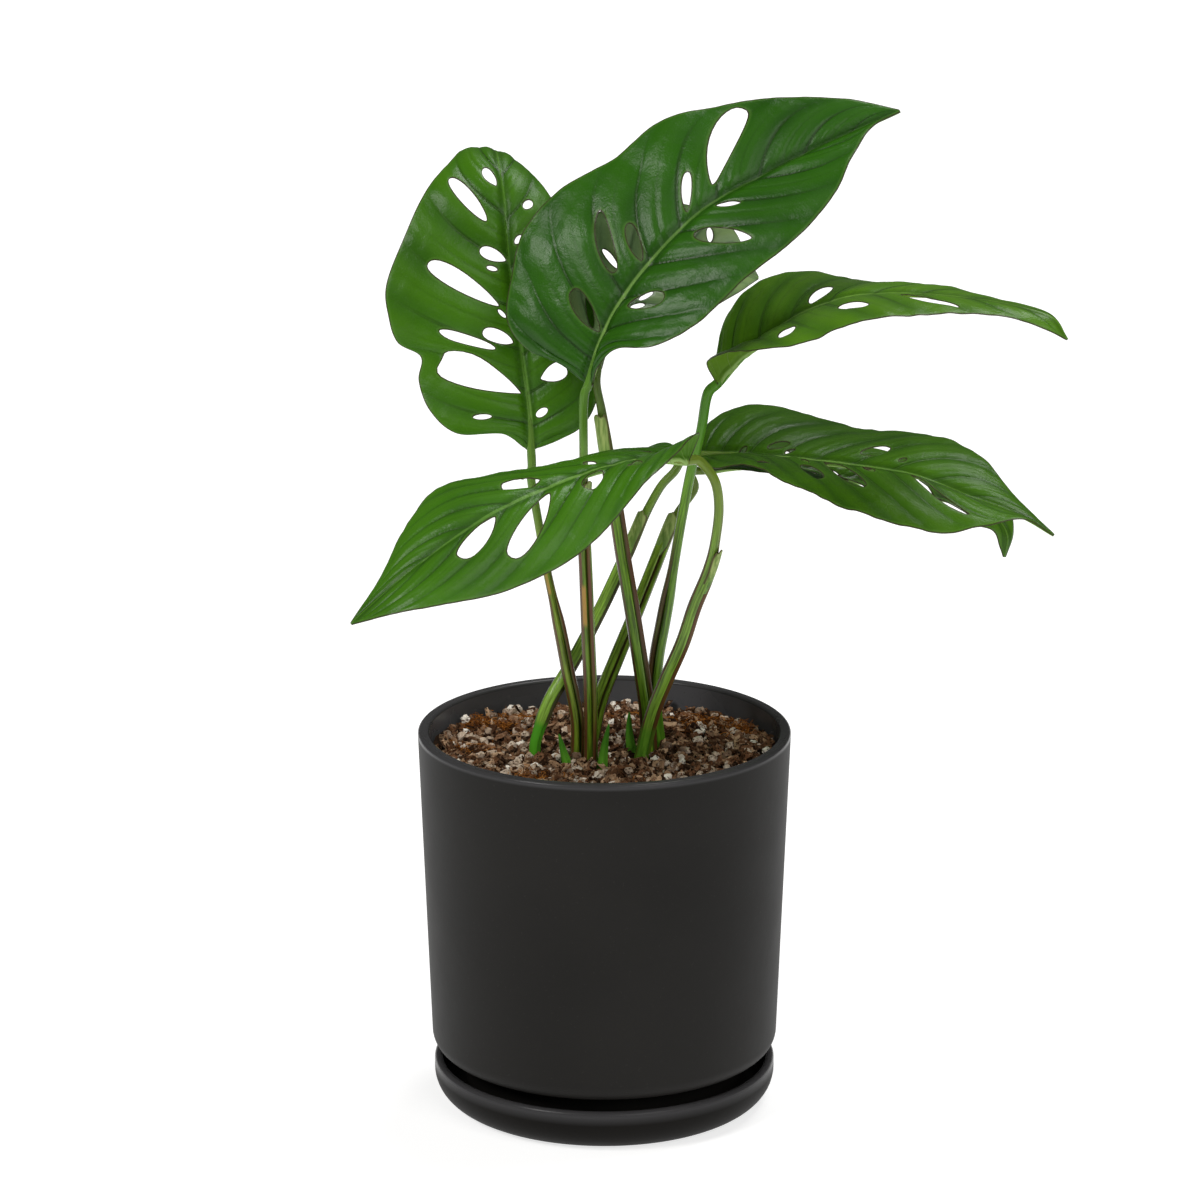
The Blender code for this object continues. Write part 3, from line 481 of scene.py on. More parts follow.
class Blade:
    """The middle surface of one blade, as a function of t (base to tip) and v (left to right)."""

    def __init__(self, name):
        shape = self.shape = LEAVES[name]
        self.seed = 100 + ord(name)
        self.veins = shape.veins
        self.midrib = smooth_curve(shape.midrib, SAMPLES)
        self.tangent = unit(np.gradient(self.midrib, axis=0))
        self.length = float(run_along(self.midrib)[-1])
        heading = self.tangent[0]
        across = np.subtract(shape.right[1], shape.left[1])
        across = unit(across - heading * np.dot(across, heading))
        self.base_normal = np.cross(across, heading)
        self.sides = {}
        for side, rail in ((-1, shape.left), (1, shape.right)):
            start = self.midrib[0] + side * RIB_RADIUS * across
            self.sides[side] = smooth_curve([start, *rail, shape.midrib[-1]], SAMPLES)
        share = np.linspace(0, 1, SAMPLES)
        fade = np.clip((share - 0.9) / 0.1, 0, 1)[:, None]
        for side, rail in self.sides.items():
            aside = unit(np.cross(self.tangent[-1], self.chord_normal(side, np.array([0.9]))[0]))
            rail += side * TIP_HALF_WIDTH * fade * aside
        rng = np.random.default_rng(self.seed)
        self.lobes = rng.uniform(0.7, 1.25, (2, 2 * self.veins + 8))
        self.folds = rng.uniform(0.2, 1.0, (2, 2 * self.veins + 8))
        widest = max(self.half_width(side, share).max() for side in (-1, 1))
        self.size = np.array([self.length, widest])

    @staticmethod
    def along(curve, share):
        at = np.clip(share, 0, 1) * (SAMPLES - 1)
        low = np.minimum(at.astype(int), SAMPLES - 2)
        return curve[low] + (at - low)[:, None] * (curve[low + 1] - curve[low])

    def chord(self, side, t):
        """Places on the midrib, as shares of it, and the way from each to the margin."""
        station = np.clip(t, 0, 1) ** VEIN_SWEEP
        return station, self.along(self.sides[side], t) - self.along(self.midrib, station)

    def chord_normal(self, side, t):
        station, chord = self.chord(side, t)
        return unit(side * np.cross(chord, self.along(self.tangent, station)))

    def half_width(self, side, t):
        return np.linalg.norm(self.chord(side, t)[1], axis=1)

    def phase(self, t, v):
        """Counts the side veins from the base: a whole number on each vein."""
        reach = np.abs(v)
        lean = self.shape.slope * reach * (0.7 + 0.3 * reach)
        return self.veins * (t - lean) + np.where(v < 0, 0.0, 0.12)

    def relief(self, row, phase, reach, width):
        """Height of the blade over its smooth form: bulges between sunken veins, and finer folds."""
        number = np.floor(phase).astype(int)
        lobe = np.clip(number + self.veins, 0, 2 * self.veins + 7)
        bulge = np.abs(np.sin(math.pi * phase)) ** 0.55 * self.lobes[row][lobe]
        halfway = np.abs(phase - number - 0.5)
        fold = LESSER_CREASE * self.folds[row][lobe] * bell(halfway, 0.0, 0.075) * (1 - reach)
        fold += 0.5 * LESSER_CREASE * bell(halfway, 0.26, 0.05) * (1 - reach) ** 2
        off = reach * width
        near = np.minimum(1, off / 4.5) ** 0.7
        height = self.shape.quilt * (bulge - fold) * near * (1.08 - reach**1.6)
        spacing = self.length / self.veins
        lie = np.stack([phase * spacing, off * 0.22, np.full(len(off), 30.0 * row)], axis=1)
        height += SKIN_WAVE * smooth_noise(lie, 9.0, self.seed + 2) * near
        return height * np.minimum(1, width / 25.0)

    def point(self, t, v):
        reach = np.abs(v)
        inner = self.along(self.midrib, np.clip(t, 0, 1) ** VEIN_SWEEP)
        made = np.zeros((len(t), 3))
        phase = self.phase(t, v)
        for row, side in ((0, -1), (1, 1)):
            here = (v < 0) if side < 0 else (v >= 0)
            outer = self.along(self.sides[side], t[here])
            width = np.linalg.norm(outer - inner[here], axis=1)
            r = reach[here]
            flat = inner[here] + (outer - inner[here]) * r[:, None]
            bump = HALF_ARCH * np.minimum(1, width / 30.0) * 4 * r * (1 - r)
            bump += self.relief(row, phase[here], r, width)
            wave = MARGIN_WAVE * smooth_noise(flat, 22.0, self.seed)
            bump += wave * np.minimum(1, width / 25.0) * r**1.5
            made[here] = flat + bump[:, None] * self.chord_normal(side, t[here])
        return made

    def rib(self, t, off):
        """How far the raised midrib stands below the blade, off millimetres from its middle."""
        radius = RIB_RADIUS + (RIB_TIP_RADIUS - RIB_RADIUS) * t
        inside = np.clip(1 - (off / (1.25 * radius)) ** 2, 0, 1)
        return radius * inside**0.8


def hole_ring(blade, hole):
    """Points round one hole, in blade coordinates: an egg about the line between its ends."""
    t0, v0, t1, v1, half_width, egg, bend = (*hole, 0, 0)[:7]
    first, second = np.array([[t0, v0], [t1, v1]])
    middle, half = (first + second) / 2, (first - second) / 2
    step = 0.01
    near = np.array([[step, 0], [-step, 0], [0, step], [0, -step]]) + middle
    at = blade.point(near[:, 0], near[:, 1])
    along_t = (at[0] - at[1]) / (2 * step)
    along_v = (at[2] - at[3]) / (2 * step)
    axis = along_t * half[0] + along_v * half[1]
    normal = unit(np.cross(along_t, along_v))
    aside = unit(np.cross(normal, axis)) * half_width
    solved = np.linalg.lstsq(np.stack([along_t, along_v], axis=1), aside, rcond=None)[0]
    angles = all_round(HOLE_POINTS, 0.0)
    cos, sin = np.cos(angles), np.sin(angles)
    width = np.sign(sin) * np.abs(sin) ** (1.1 - egg * cos) * (1 + egg * cos)
    width += bend * (1 - cos**2) * 0.6
    return middle + half * cos[:, None] + solved * width[:, None]


def inside_ring(points, ring):
    inside = np.zeros(len(points), bool)
    for (x0, y0), (x1, y1) in zip(ring, np.roll(ring, -1, axis=0)):
        if y0 == y1:
            continue
        crosses = (y0 > points[:, 1]) != (y1 > points[:, 1])
        inside ^= crosses & (points[:, 0] < x0 + (points[:, 1] - y0) * (x1 - x0) / (y1 - y0))
    return inside


def distance_to_ring(points, ring):
    best = np.full(len(points), 1e9)
    for a, b in zip(ring, np.roll(ring, -1, axis=0)):
        run = b - a
        share = np.clip(((points - a) @ run) / max(run @ run, 1e-12), 0, 1)
        best = np.minimum(best, np.linalg.norm(points - a - share[:, None] * run, axis=1))
    return best


def blade_pattern(blade, rings):
    """Splits the flat pattern into fine triangles round the holes: (t and v of points, triangles)."""
    size = blade.size
    rows = int(size[0] / GRID)
    half_columns = int(size[1] / GRID * 0.92)
    ts = np.linspace(0, 1, rows + 1)
    positive = (np.arange(1, half_columns + 1) / half_columns) ** 1.12
    vs = np.concatenate([-positive[::-1], [0.0], positive])
    grid = np.stack(np.meshgrid(ts, vs, indexing="ij"), axis=-1)
    number = -np.ones(grid.shape[:2], int)
    flat = grid.reshape(-1, 2)
    keep = np.ones(len(flat), bool)
    for ring in rings:
        keep &= ~inside_ring(flat, ring)
        keep &= distance_to_ring(flat * size, ring * size) > 0.45 * GRID
    number.reshape(-1)[keep] = np.arange(keep.sum())
    points = list(flat[keep])
    edges = []
    for line in (number[0], number[-1], number[:, 0], number[:, -1], number[:, half_columns]):
        edges += [(int(a), int(b)) for a, b in zip(line, line[1:]) if a >= 0 and b >= 0]
    for ring in rings:
        numbers = range(len(points), len(points) + len(ring))
        points += list(ring)
        edges += zip(numbers, [*numbers[1:], numbers[0]])
    made = delaunay_2d_cdt([tuple(p * size) for p in points], edges, [], 0, 1e-5)
    found = np.array([(p[0], p[1]) for p in made[0]]) / size
    triangles = np.array([f for f in made[2] if len(f) == 3])
    centres = found[triangles].mean(axis=1)
    for ring in rings:
        inside = inside_ring(centres, ring)
        triangles, centres = triangles[~inside], centres[~inside]
    return found, triangles


def leaf(name):
    blade = Blade(name)
    rings = [hole_ring(blade, hole) for hole in blade.shape.holes]
    pattern, triangles = blade_pattern(blade, rings)
    t, v = pattern[:, 0], pattern[:, 1]
    middle = blade.point(t, v)
    width = np.where(v < 0, blade.half_width(-1, t), blade.half_width(1, t))
    reach = np.abs(v)
    off = reach * width
    rim = (1 - reach) * width
    for ring in rings:
        rim = np.minimum(rim, distance_to_ring(pattern * blade.size, ring * blade.size))

    corners = middle[triangles]
    face_normal = np.cross(corners[:, 1] - corners[:, 0], corners[:, 2] - corners[:, 0])
    normal = np.zeros_like(middle)
    for k in range(3):
        np.add.at(normal, triangles[:, k], face_normal)
    normal = unit(normal)
    upward = blade.chord_normal(1, np.array([0.5]))[0]
    centre = np.argmin(np.abs(t - 0.5) + np.abs(v - 0.05))
    if np.dot(normal[centre], upward) < 0:
        triangles = triangles[:, ::-1]
        normal = -normal
    normal[t < 1e-6] = blade.base_normal

    # The upper face has a narrow raised rib in a shallow groove, the lower face a stout one
    rib_half = 0.85 * (1 - t) + 0.35
    ridge = 0.45 * bell(off, 0.0, rib_half) - 0.4 * bell(off, 2.2 * rib_half, rib_half)
    ridge *= np.clip(1 - t, 0.25, 1)
    half = BLADE_THICKNESS / 2 * np.clip(0.45 + 0.5 * rim, 0.45, 1.0)
    top = middle + normal * (half + ridge)[:, None]
    bottom = middle - normal * (half + blade.rib(t, off))[:, None]

    faces = sheet_faces(triangles.tolist(), len(middle))
    slots = np.zeros(len(faces))
    slots[len(triangles):2 * len(triangles)] = 1
    lie = np.stack([blade.phase(t, v), off, t], axis=1)
    attributes = {"lie": np.tile(lie, (2, 1)), "rim": np.tile(rim, 2), "reach": np.tile(reach, 2)}
    add_piece(f"blade_{name}", np.vstack([top, bottom]), faces,
              [upper_green(name, blade), under_green(name, blade)], f"leaf_{name}",
              attributes, slots, sharp_degrees=70)


def vein_lines(shader, blade):
    """Masks of the blade's lines, each 0 to 1, and the measures that they come from."""
    split = shader.node("SeparateXYZ")
    shader.feed(split.inputs[0], shader.attribute("lie", "Vector"))
    phase, off, t = split.outputs
    spacing = blade.length / blade.veins
    half_rib = shader.math("MULTIPLY_ADD", t, -1.1, 1.5)
    near = shader.math("PINGPONG", phase, 0.5)
    halfway = shader.math("PINGPONG", shader.math("ADD", phase, 0.5), 0.5)
    return SimpleNamespace(
        near=near, off=off, t=t,
        rib=shader.ramp(off, shader.times(half_rib, 1.2), shader.times(half_rib, 0.6)),
        thin=shader.ramp(near, 0.32 / spacing, 0.08 / spacing),
        crease=shader.ramp(near, 1.5 / spacing, 0.2 / spacing),
        lesser=shader.ramp(halfway, 1.0 / spacing, 0.05 / spacing))


def upper_green(name, blade):
    shape = blade.shape
    shader = Shader(f"leaf {name} upper", specular=0.08 + 0.33 * shape.gloss)
    lines = vein_lines(shader, blade)
    green = np.array(shape.green)
    fade = shader.ramp(shader.attribute("reach"), 1.0, 0.35, 0.1, 1.0)
    cloud = shader.ramp(shader.noise(20.0, 3.0, 0.55), 0.3, 0.72)
    shader.colour = shader.mix(cloud, green * 0.78, green * (1.35, 1.25, 1.1))
    # Painted light and shade: yellower and lighter over each bulge, darker along the creases and the lesser
    # creases; the thin pale line in each vein is the vein's own colour
    shader.paint(shader.ramp(lines.near, 0.08, 0.42, 0.0, 0.45), green * (1.7, 1.4, 1.1))
    for line, strength, colour in ((lines.crease, 0.85, green * 0.34),
                                   (lines.lesser, 0.25, green * 0.5),
                                   (lines.thin, shape.line, VEIN_GREEN)):
        shader.paint(shader.times(shader.times(line, fade), strength), colour)
    strength, length = shape.rib
    pale = shader.ramp(lines.t, length, 0.0, 0.12, strength)
    shader.paint(shader.times(lines.rib, pale), RIB_GREEN)
    # Painted shade in the shallow groove beside the midrib
    groove = shader.ramp(lines.off, 4.0, 1.4, 0.0, 0.5)
    beside = shader.math("SUBTRACT", 1.0, lines.rib)
    shader.paint(shader.times(groove, beside), green * 0.45)
    rim = shader.attribute("rim")
    # Painted light: a band of edge green just inside the margins and hole edges, for light on curled and
    # cut edges
    shader.paint(shader.times(shader.ramp(rim, 1.7, 0.9), 0.3), EDGE_HIGHLIGHT_GREEN)
    shader.paint(shader.ramp(rim, 0.6, 0.3, 0.0, 0.85), EDGE_BROWN)
    rough = shader.math("MULTIPLY_ADD", shader.noise(60.0, 4.0, 0.6), 0.28, 0.21)
    height = shader.bump(shader.noise(240.0, 3.0, 0.6), 0.0004, 0.6)
    height = shader.bump(shader.noise(1000.0, 2.0, 0.6), 0.00012, 0.8, height)
    return shader.finish(height, rough)


def under_green(name, blade):
    shader = Shader(f"leaf {name} under", 0.55)
    lines = vein_lines(shader, blade)
    pale = np.minimum(np.multiply(blade.shape.green, (2.1, 1.5, 2.0)), (0.16, 0.26, 0.12))
    shader.colour = shader.mix(shader.noise(26.0, 3.0, 0.55), pale * 0.8, pale * 1.2)
    shader.paint(shader.times(lines.thin, 0.7), (0.24, 0.38, 0.10))
    shader.paint(shader.times(lines.lesser, 0.2), (0.2, 0.34, 0.08))
    shader.paint(lines.rib, (0.26, 0.42, 0.11))
    shader.paint(shader.ramp(shader.attribute("rim"), 0.6, 0.3, 0.0, 0.8), EDGE_BROWN)
    height = shader.bump(lines.thin, 0.0006, 0.6)
    return shader.finish(shader.bump(shader.noise(500.0, 3.0, 0.6), 0.0002, 0.5, height))


# Stems


def stem_path(name, count):
    """The stem's middle line, from its buried end on into the first stretch of the midrib."""
    path = [np.array(p, float) for p in STEMS[name].path]
    buried = path[0] - unit(path[1] - path[0]) * STEM_DEPTH
    midrib = smooth_curve(LEAVES[name].midrib, 120)
    run = run_along(midrib)
    before = midrib[0] - unit(midrib[1] - midrib[0]) * STEM_STRAIGHT_END
    inside = [midrib[np.searchsorted(run, reach)] for reach in (0.5 * MIDRIB_RUN, MIDRIB_RUN)]
    return smooth_curve([buried, *path, before, midrib[0], *inside], count)


def joint_share(name):
    """Where along the stem's line its blade begins."""
    line = stem_path(name, 500)
    return float(np.argmin(np.linalg.norm(line - np.array(LEAVES[name].midrib[0]), axis=1))) / 499


def swept(centres, profile):
    """A closed tube. profile(share) gives radii round the section, from its front side on."""
    tangents = unit(np.gradient(centres, axis=0))
    front = np.array((0.1, -1.0, 0.0))
    ahead = unit(front - tangents * (tangents @ front)[:, None])
    side = np.cross(tangents, ahead)
    shares = np.linspace(0, 1, len(centres))
    radii = np.stack([profile(s) for s in shares])
    rings, sides = radii.shape
    angles = all_round(sides)
    points = (centres[:, None, :]
              + radii[:, :, None] * (np.cos(angles)[None, :, None] * ahead[:, None, :]
                                     + np.sin(angles)[None, :, None] * side[:, None, :]))
    marks = {"around": np.tile(angles, rings), "along": np.repeat(shares, sides)}
    return points.reshape(-1, 3), ring_faces(rings, sides), marks


def stem_profile(name):
    shape = STEMS[name]
    low, high = shape.radius
    joint = joint_share(name)
    angles = all_round(STEM_SIDES) - shape.turn

    def profile(share):
        own = share / joint
        sheathed = falling(own, shape.sheath, 0.02)
        radius = high + (low * (1 - 0.14 * own) - high) * sheathed
        radius *= 1 + 0.04 * bell(own, 0.975, 0.02)
        if shape.foot == 1.0:
            radius *= 1 - 0.2 * falling(own, 0.2, 0.006)
        if share > joint:
            radius *= 1 - 0.5 * (share - joint) / (1 - joint)
        open_share = sheathed * min(1.0, max(0.0, (own - 0.1) / 0.1))
        channel = 0.5 * open_share * bell(angles, 0.0, 0.24)
        lips = 0.1 * open_share * bell(np.abs(angles), 0.5, 0.15)
        slim_groove = 0.08 * (1 - open_share) * bell(angles, 0.0, 0.25)
        return radius * (1 - channel + lips - slim_groove)

    return profile


def stem_green(name):
    """Green with lighter streaks, brown-red stripes, and painted shade in the channel and on the sides."""
    shape = STEMS[name]
    green = np.array(shape.green)
    shader = Shader(f"stem {name}", 0.24, 0.3)
    around = shader.attribute("around")
    own = shader.math("DIVIDE", shader.attribute("along"), joint_share(name))
    # The grain follows the stem: round it, and three times stretched along it
    grain = shader.feed_all(shader.node("CombineXYZ"),
                            (shader.math("COSINE", around), shader.math("SINE", around),
                             shader.times(own, 3.0)))
    streak = shader.ramp(shader.noise(3.5, 3.0, 0.6, grain), 0.32, 0.68)
    shader.colour = shader.mix(streak, green * 0.6, green * 1.75)
    sheathed = shader.ramp(own, shape.sheath + 0.2, shape.sheath)
    patchy = shader.ramp(shader.noise(1.2, 3.0, 0.6, grain), 0.25, 0.5, 0.45, 1.0)

    def stripe(angle, half, strength):
        mask = shader.ramp(shader.apart(around, angle), half, 0.65 * half, 0.0, strength)
        return shader.times(mask, sheathed)

    for angle, half in shape.bands:
        shader.paint(shader.times(stripe(angle, half, 0.95), patchy), shape.red)
    # Painted shade: a dark stripe along the sheath's open channel
    shader.paint(stripe(shape.turn, 0.18, 0.75), CHANNEL_SHADE)
    if shape.scar:
        low, high, angle = shape.scar
        mark = shader.ramp(shader.apart(own, (low + high) / 2), (high - low) / 2, (high - low) / 3)
        shader.paint(shader.times(mark, stripe(angle, 0.4, 1.0)), SCAR_TAN)
    # Painted shade: the sides that turn away from the front are darker
    shader.paint(shader.ramp(shader.apart(around), 1.15, 1.5, 0.0, 0.7), green * 0.22)
    shader.paint(shader.times(shader.ramp(own, 0.215, 0.19), shape.foot), FOOT_GREEN)
    shader.paint(shader.ramp(own, 0.65, 0.92, 0.0, 0.8), shape.top)
    return shader.finish(shader.bump(shader.noise(6.0, 3.0, 0.6, grain), 0.0003, 0.6))


def sheath_points(name, centres):
    """The free end of the sheath: a thin blunt flap, cupped round the stem, that stands off."""
    shape = STEMS[name]
    low, high = shape.sheath - 0.085, shape.sheath + 0.035
    aside = unit(np.array(shape.tip, float))
    joint = joint_share(name)
    points = []
    for share in np.linspace(low, high, FLAP_RINGS):
        step = (share - low) / (high - low)
        at = share * joint * (len(centres) - 1)
        k = int(at)
        centre = centres[k] + (at - k) * (centres[k + 1] - centres[k])
        tangent = unit(centres[min(k + 2, len(centres) - 1)] - centres[k])
        out = unit(aside - tangent * np.dot(aside, tangent))
        across = np.cross(tangent, out)
        radius = 0.78 * shape.radius[0] + 0.5 * step
        wrap = 1.25 * (1 - 0.35 * step**10) * min(1.0, 0.5 + 2 * step)
        row = []
        for u in np.linspace(-1, 1, FLAP_COLUMNS):
            torn = step**8 * (0.7 * math.sin(4.0 * u + 11.0 * shape.sheath)
                              + 0.2 * math.sin(17.0 * u))
            angle = u * wrap
            row.append(centre + out * (radius * math.cos(angle) + 0.8 * step - 0.2)
                       + across * radius * math.sin(angle) + tangent * torn)
        points.append(row)
    return np.array(points)


def sheath_flap(name, centres, made_of):
    grid = sheath_points(name, centres)
    normal = unit(np.cross(np.gradient(grid, axis=0), np.gradient(grid, axis=1)))
    faces = []
    for i in range(FLAP_RINGS - 1):
        for j in range(FLAP_COLUMNS - 1):
            a = i * FLAP_COLUMNS + j
            faces.append((a, a + FLAP_COLUMNS, a + FLAP_COLUMNS + 1, a + 1))
    points = np.vstack([(grid + side * normal * FLAP_HALF_THICKNESS).reshape(-1, 3)
                        for side in (1, -1)])
    along = np.tile(np.repeat(np.linspace(0, 1, FLAP_RINGS), FLAP_COLUMNS), 2)
    edge = np.tile(np.abs(np.linspace(-1, 1, FLAP_COLUMNS)), 2 * FLAP_RINGS)
    add_piece(f"sheath_tip_{name}", points, sheet_faces(faces, FLAP_RINGS * FLAP_COLUMNS), [made_of],
              attributes={"along": along, "edge": edge}, sharp_degrees=60)


def flap_green():
    shader = Shader("sheath tip", 0.45)
    along = shader.attribute("along")
    stretched = shader.node("Mapping")
    stretched.inputs["Scale"].default_value = (1.0, 1.0, 0.12)
    shader.feed(stretched.inputs["Vector"], shader.place())
    stripe = shader.ramp(shader.noise(700.0, 3.0, 0.6, stretched.outputs[0]), 0.3, 0.7)
    fresh = shader.mix(stripe, (0.07, 0.16, 0.02), (0.18, 0.32, 0.06))
    pale = shader.mix(stripe, (0.12, 0.21, 0.035), (0.33, 0.42, 0.13))
    shader.colour = shader.mix(shader.ramp(along, 0.1, 0.6), fresh, pale)
    edge = shader.ramp(shader.attribute("edge"), 0.68, 0.9, 0.0, 0.9)
    shader.paint(edge, (0.06, 0.035, 0.012))
    shader.paint(shader.ramp(along, 0.97, 1.0, 0.0, 0.8), (0.14, 0.12, 0.05))
    return shader.finish()


def stem(name, flap_material):
    centres = stem_path(name, 600)
    line = stem_path(name, int(run_along(centres)[-1] / STEM_RING_STEP))
    points, faces, marks = swept(line, stem_profile(name))
    add_piece(f"stem_{name}", points, faces, [stem_green(name)], f"petiole_{name}",
              marks, sharp_degrees=75)
    if STEMS[name].tip:
        sheath_flap(name, centres, flap_material)


def shoot(name):
    path = [np.array(p, float) for p in SHOOTS[name]]
    heading = unit(path[1] - path[0])
    centres = smooth_curve([path[0] - heading * 8.0, *path], 40)
    angles = all_round(24)

    def profile(share):
        radius = 0.05 + 2.9 * max(0.0, 1 - share) ** 0.6
        seam = 0.3 * bell(angles, 0.5, 0.22) * min(1, share * 3)
        return radius * (1 - seam)

    points, faces, marks = swept(centres, profile)
    shader = Shader(f"shoot {name}", 0.38)
    up = shader.ramp(shader.attribute("along"), 0.35, 0.95)
    shader.colour = shader.mix(up, (0.11, 0.33, 0.025), (0.045, 0.20, 0.012))
    made_of = shader.finish(shader.bump(shader.noise(500.0), 0.0002, 0.4))
    add_piece(f"spear_{name}", points, faces, [made_of], f"shoot_{name}", marks,
              sharp_degrees=75)


# Pot and saucer


def turned(name, profile, made_of, node, solid=False, lip=(), inside=()):
    """A turned body. lip and inside number the points of its profile on its lip and inner wall."""
    angles = all_round(TURNED_SEGMENTS, 0.0)
    profile = np.array(profile)
    rings = len(profile)
    points = np.stack([profile[:, :1] * np.cos(angles), profile[:, :1] * np.sin(angles),
                       np.repeat(profile[:, 1:], TURNED_SEGMENTS, axis=1)], axis=-1)
    marks = {}
    for key, numbers in (("lip", lip), ("inside", inside)):
        marks[key] = np.repeat(np.isin(np.arange(rings), numbers).astype(float), TURNED_SEGMENTS)
    add_piece(name, points.reshape(-1, 3), ring_faces(rings, TURNED_SEGMENTS, not solid), [made_of],
              node, marks, sharp_degrees=40)


def ceramic(name, colour, inside_light_colour, specular):
    shader = Shader(name, specular=specular)
    colour = np.array(colour)
    mottled = shader.ramp(shader.noise(14.0, 4.0, 0.55), 0.3, 0.7)
    shader.colour = shader.mix(mottled, colour * 0.85, colour * 1.15)
    # Painted light: the inside takes its own, lighter colour for the light and sheen on the inner wall
    shader.paint(shader.attribute("inside"), inside_light_colour)
    lip = shader.attribute("lip")
    # Painted highlight: the lip is painted lighter so that it reads as a lit band on the pot's rim and the
    # saucer's lip; its lower roughness is the glaze's own
    shader.paint(shader.times(lip, 0.5), (0.075, 0.074, 0.078))
    speck = shader.ramp(shader.noise(900.0, 1.0), 0.68, 0.78)
    shader.paint(shader.times(speck, 0.3), colour * 3)
    rough = shader.math("MULTIPLY_ADD", lip, -0.28, 0.5)
    rough = shader.math("MULTIPLY_ADD", shader.noise(55.0), 0.08, rough)
    return shader.finish(shader.bump(shader.noise(260.0, 3.0, 0.55), 0.0001, 0.4), rough)


def saucer():
    wall_top = SAUCER_HEIGHT - SAUCER_WALL / 2
    inner = SAUCER_RADIUS - SAUCER_WALL
    profile = [(radius, 0.0) for radius in SAUCER_RINGS]
    profile += arc((SAUCER_RADIUS - SAUCER_CORNER, SAUCER_CORNER), SAUCER_CORNER, -90, 0, 14)
    lip_start = len(profile)
    profile += arc((SAUCER_RADIUS - SAUCER_WALL / 2, wall_top), SAUCER_WALL / 2, 0, 180, 12)
    lip = range(lip_start, len(profile))
    profile += arc((inner - SAUCER_INNER_CORNER, SAUCER_FLOOR + SAUCER_INNER_CORNER),
                   SAUCER_INNER_CORNER, 0, -90, 6)
    profile += [(radius, SAUCER_FLOOR) for radius in reversed(SAUCER_RINGS)]
    black = (0.0045, 0.0038, 0.003)
    turned("dish", profile, ceramic("saucer ceramic", black, black, 0.11), "saucer", True, lip)


def pot():
    foot_bottom = SAUCER_FLOOR + GAP
    floor_top = foot_bottom + FOOT_RECESS + POT_FLOOR
    shoulder = POT_UNDERSIDE + POT_WALL
    corner = POT_LIP_CORNER
    spread = POT_RIM_RADIUS - POT_BOTTOM_RADIUS
    share = (shoulder - POT_UNDERSIDE) / (POT_TOP - POT_UNDERSIDE)
    inner = POT_BOTTOM_RADIUS - POT_WALL + share * spread
    low, high = POT_UNDERSIDE + POT_CORNER, POT_TOP - corner
    profile = [(DRAIN_RADIUS, floor_top), (DRAIN_RADIUS, foot_bottom + FOOT_RECESS),
               (FOOT_RADIUS - FOOT_WALL, foot_bottom + FOOT_RECESS),
               (FOOT_RADIUS - FOOT_WALL, foot_bottom), (FOOT_RADIUS, foot_bottom),
               (FOOT_RADIUS, POT_UNDERSIDE)]
    profile += arc((POT_BOTTOM_RADIUS - POT_CORNER, low), POT_CORNER, -90, 0, 12)
    for up in (0.12, 0.24, 0.36, 0.48, 0.6, 0.72, 0.84, 0.99):
        profile.append((POT_BOTTOM_RADIUS + spread * up, low + (high - low) * up))
    lip_start = len(profile)
    profile += arc((POT_RIM_RADIUS - corner, high), corner, 0, 80, 8)
    profile.append((POT_RIM_RADIUS - POT_WALL / 2, POT_TOP))
    profile += arc((POT_RIM_RADIUS - POT_WALL + corner, high), corner, 100, 180, 8)
    lip = range(lip_start, len(profile))
    profile += [(inner, shoulder), (FOOT_RADIUS - FOOT_WALL, shoulder),
                (FOOT_RADIUS - FOOT_WALL, floor_top)]
    # Its second colour, a lighter bluish grey, is painted light and sheen on the inner wall
    made_of = ceramic("pot ceramic", (0.0095, 0.0088, 0.0078), (0.085, 0.085, 0.093), 0.15)
    turned("planter", profile, made_of, "pot", lip=lip, inside=range(lip[-1], len(profile)))


# Potting mix


def soil_height(x, y):
    bowl = SOIL_RISE * (x / SOIL_SPAN) ** 2 - SOIL_FALL * (y / SOIL_SPAN)
    lumps = np.sin(0.19 * x + 0.8) * np.cos(0.17 * y - 0.4) + np.sin(0.41 * y + 0.23 * x)
    return SOIL_TOP + bowl + 0.5 * SOIL_RELIEF * lumps


def grain_shape(kind, rng):
    """One grain's points and faces, about 1 mm in size: a chip, or a lump with many small faces."""
    bm = bmesh.new()
    if kind == "chip":
        bmesh.ops.create_cube(bm, size=1.6)
        bmesh.ops.subdivide_edges(bm, edges=bm.edges, cuts=1)
        shape = np.array([1.0, rng.uniform(0.35, 0.65), rng.uniform(0.14, 0.3)])
        rough = 0.22
    else:
        bmesh.ops.create_icosphere(bm, subdivisions=2, radius=1.0)
        shape = np.array([1.0, rng.uniform(0.75, 1.0), rng.uniform(0.6, 0.85)])
        rough = 0.16
    points = np.array([v.co for v in bm.verts])
    faces = [[v.index for v in f.verts] for f in bm.faces]
    bm.free()
    points = points * (1 + rng.normal(0, rough, (len(points), 1))) * shape
    return points, faces


def turn_matrix(rng, tilt):
    spin = Matrix.Rotation(rng.uniform(0, TAU), 3, "Z")
    lean = Matrix.Rotation(rng.normal(0, tilt), 3, "X") @ Matrix.Rotation(rng.normal(0, tilt), 3, "Y")
    return np.array(lean @ spin)


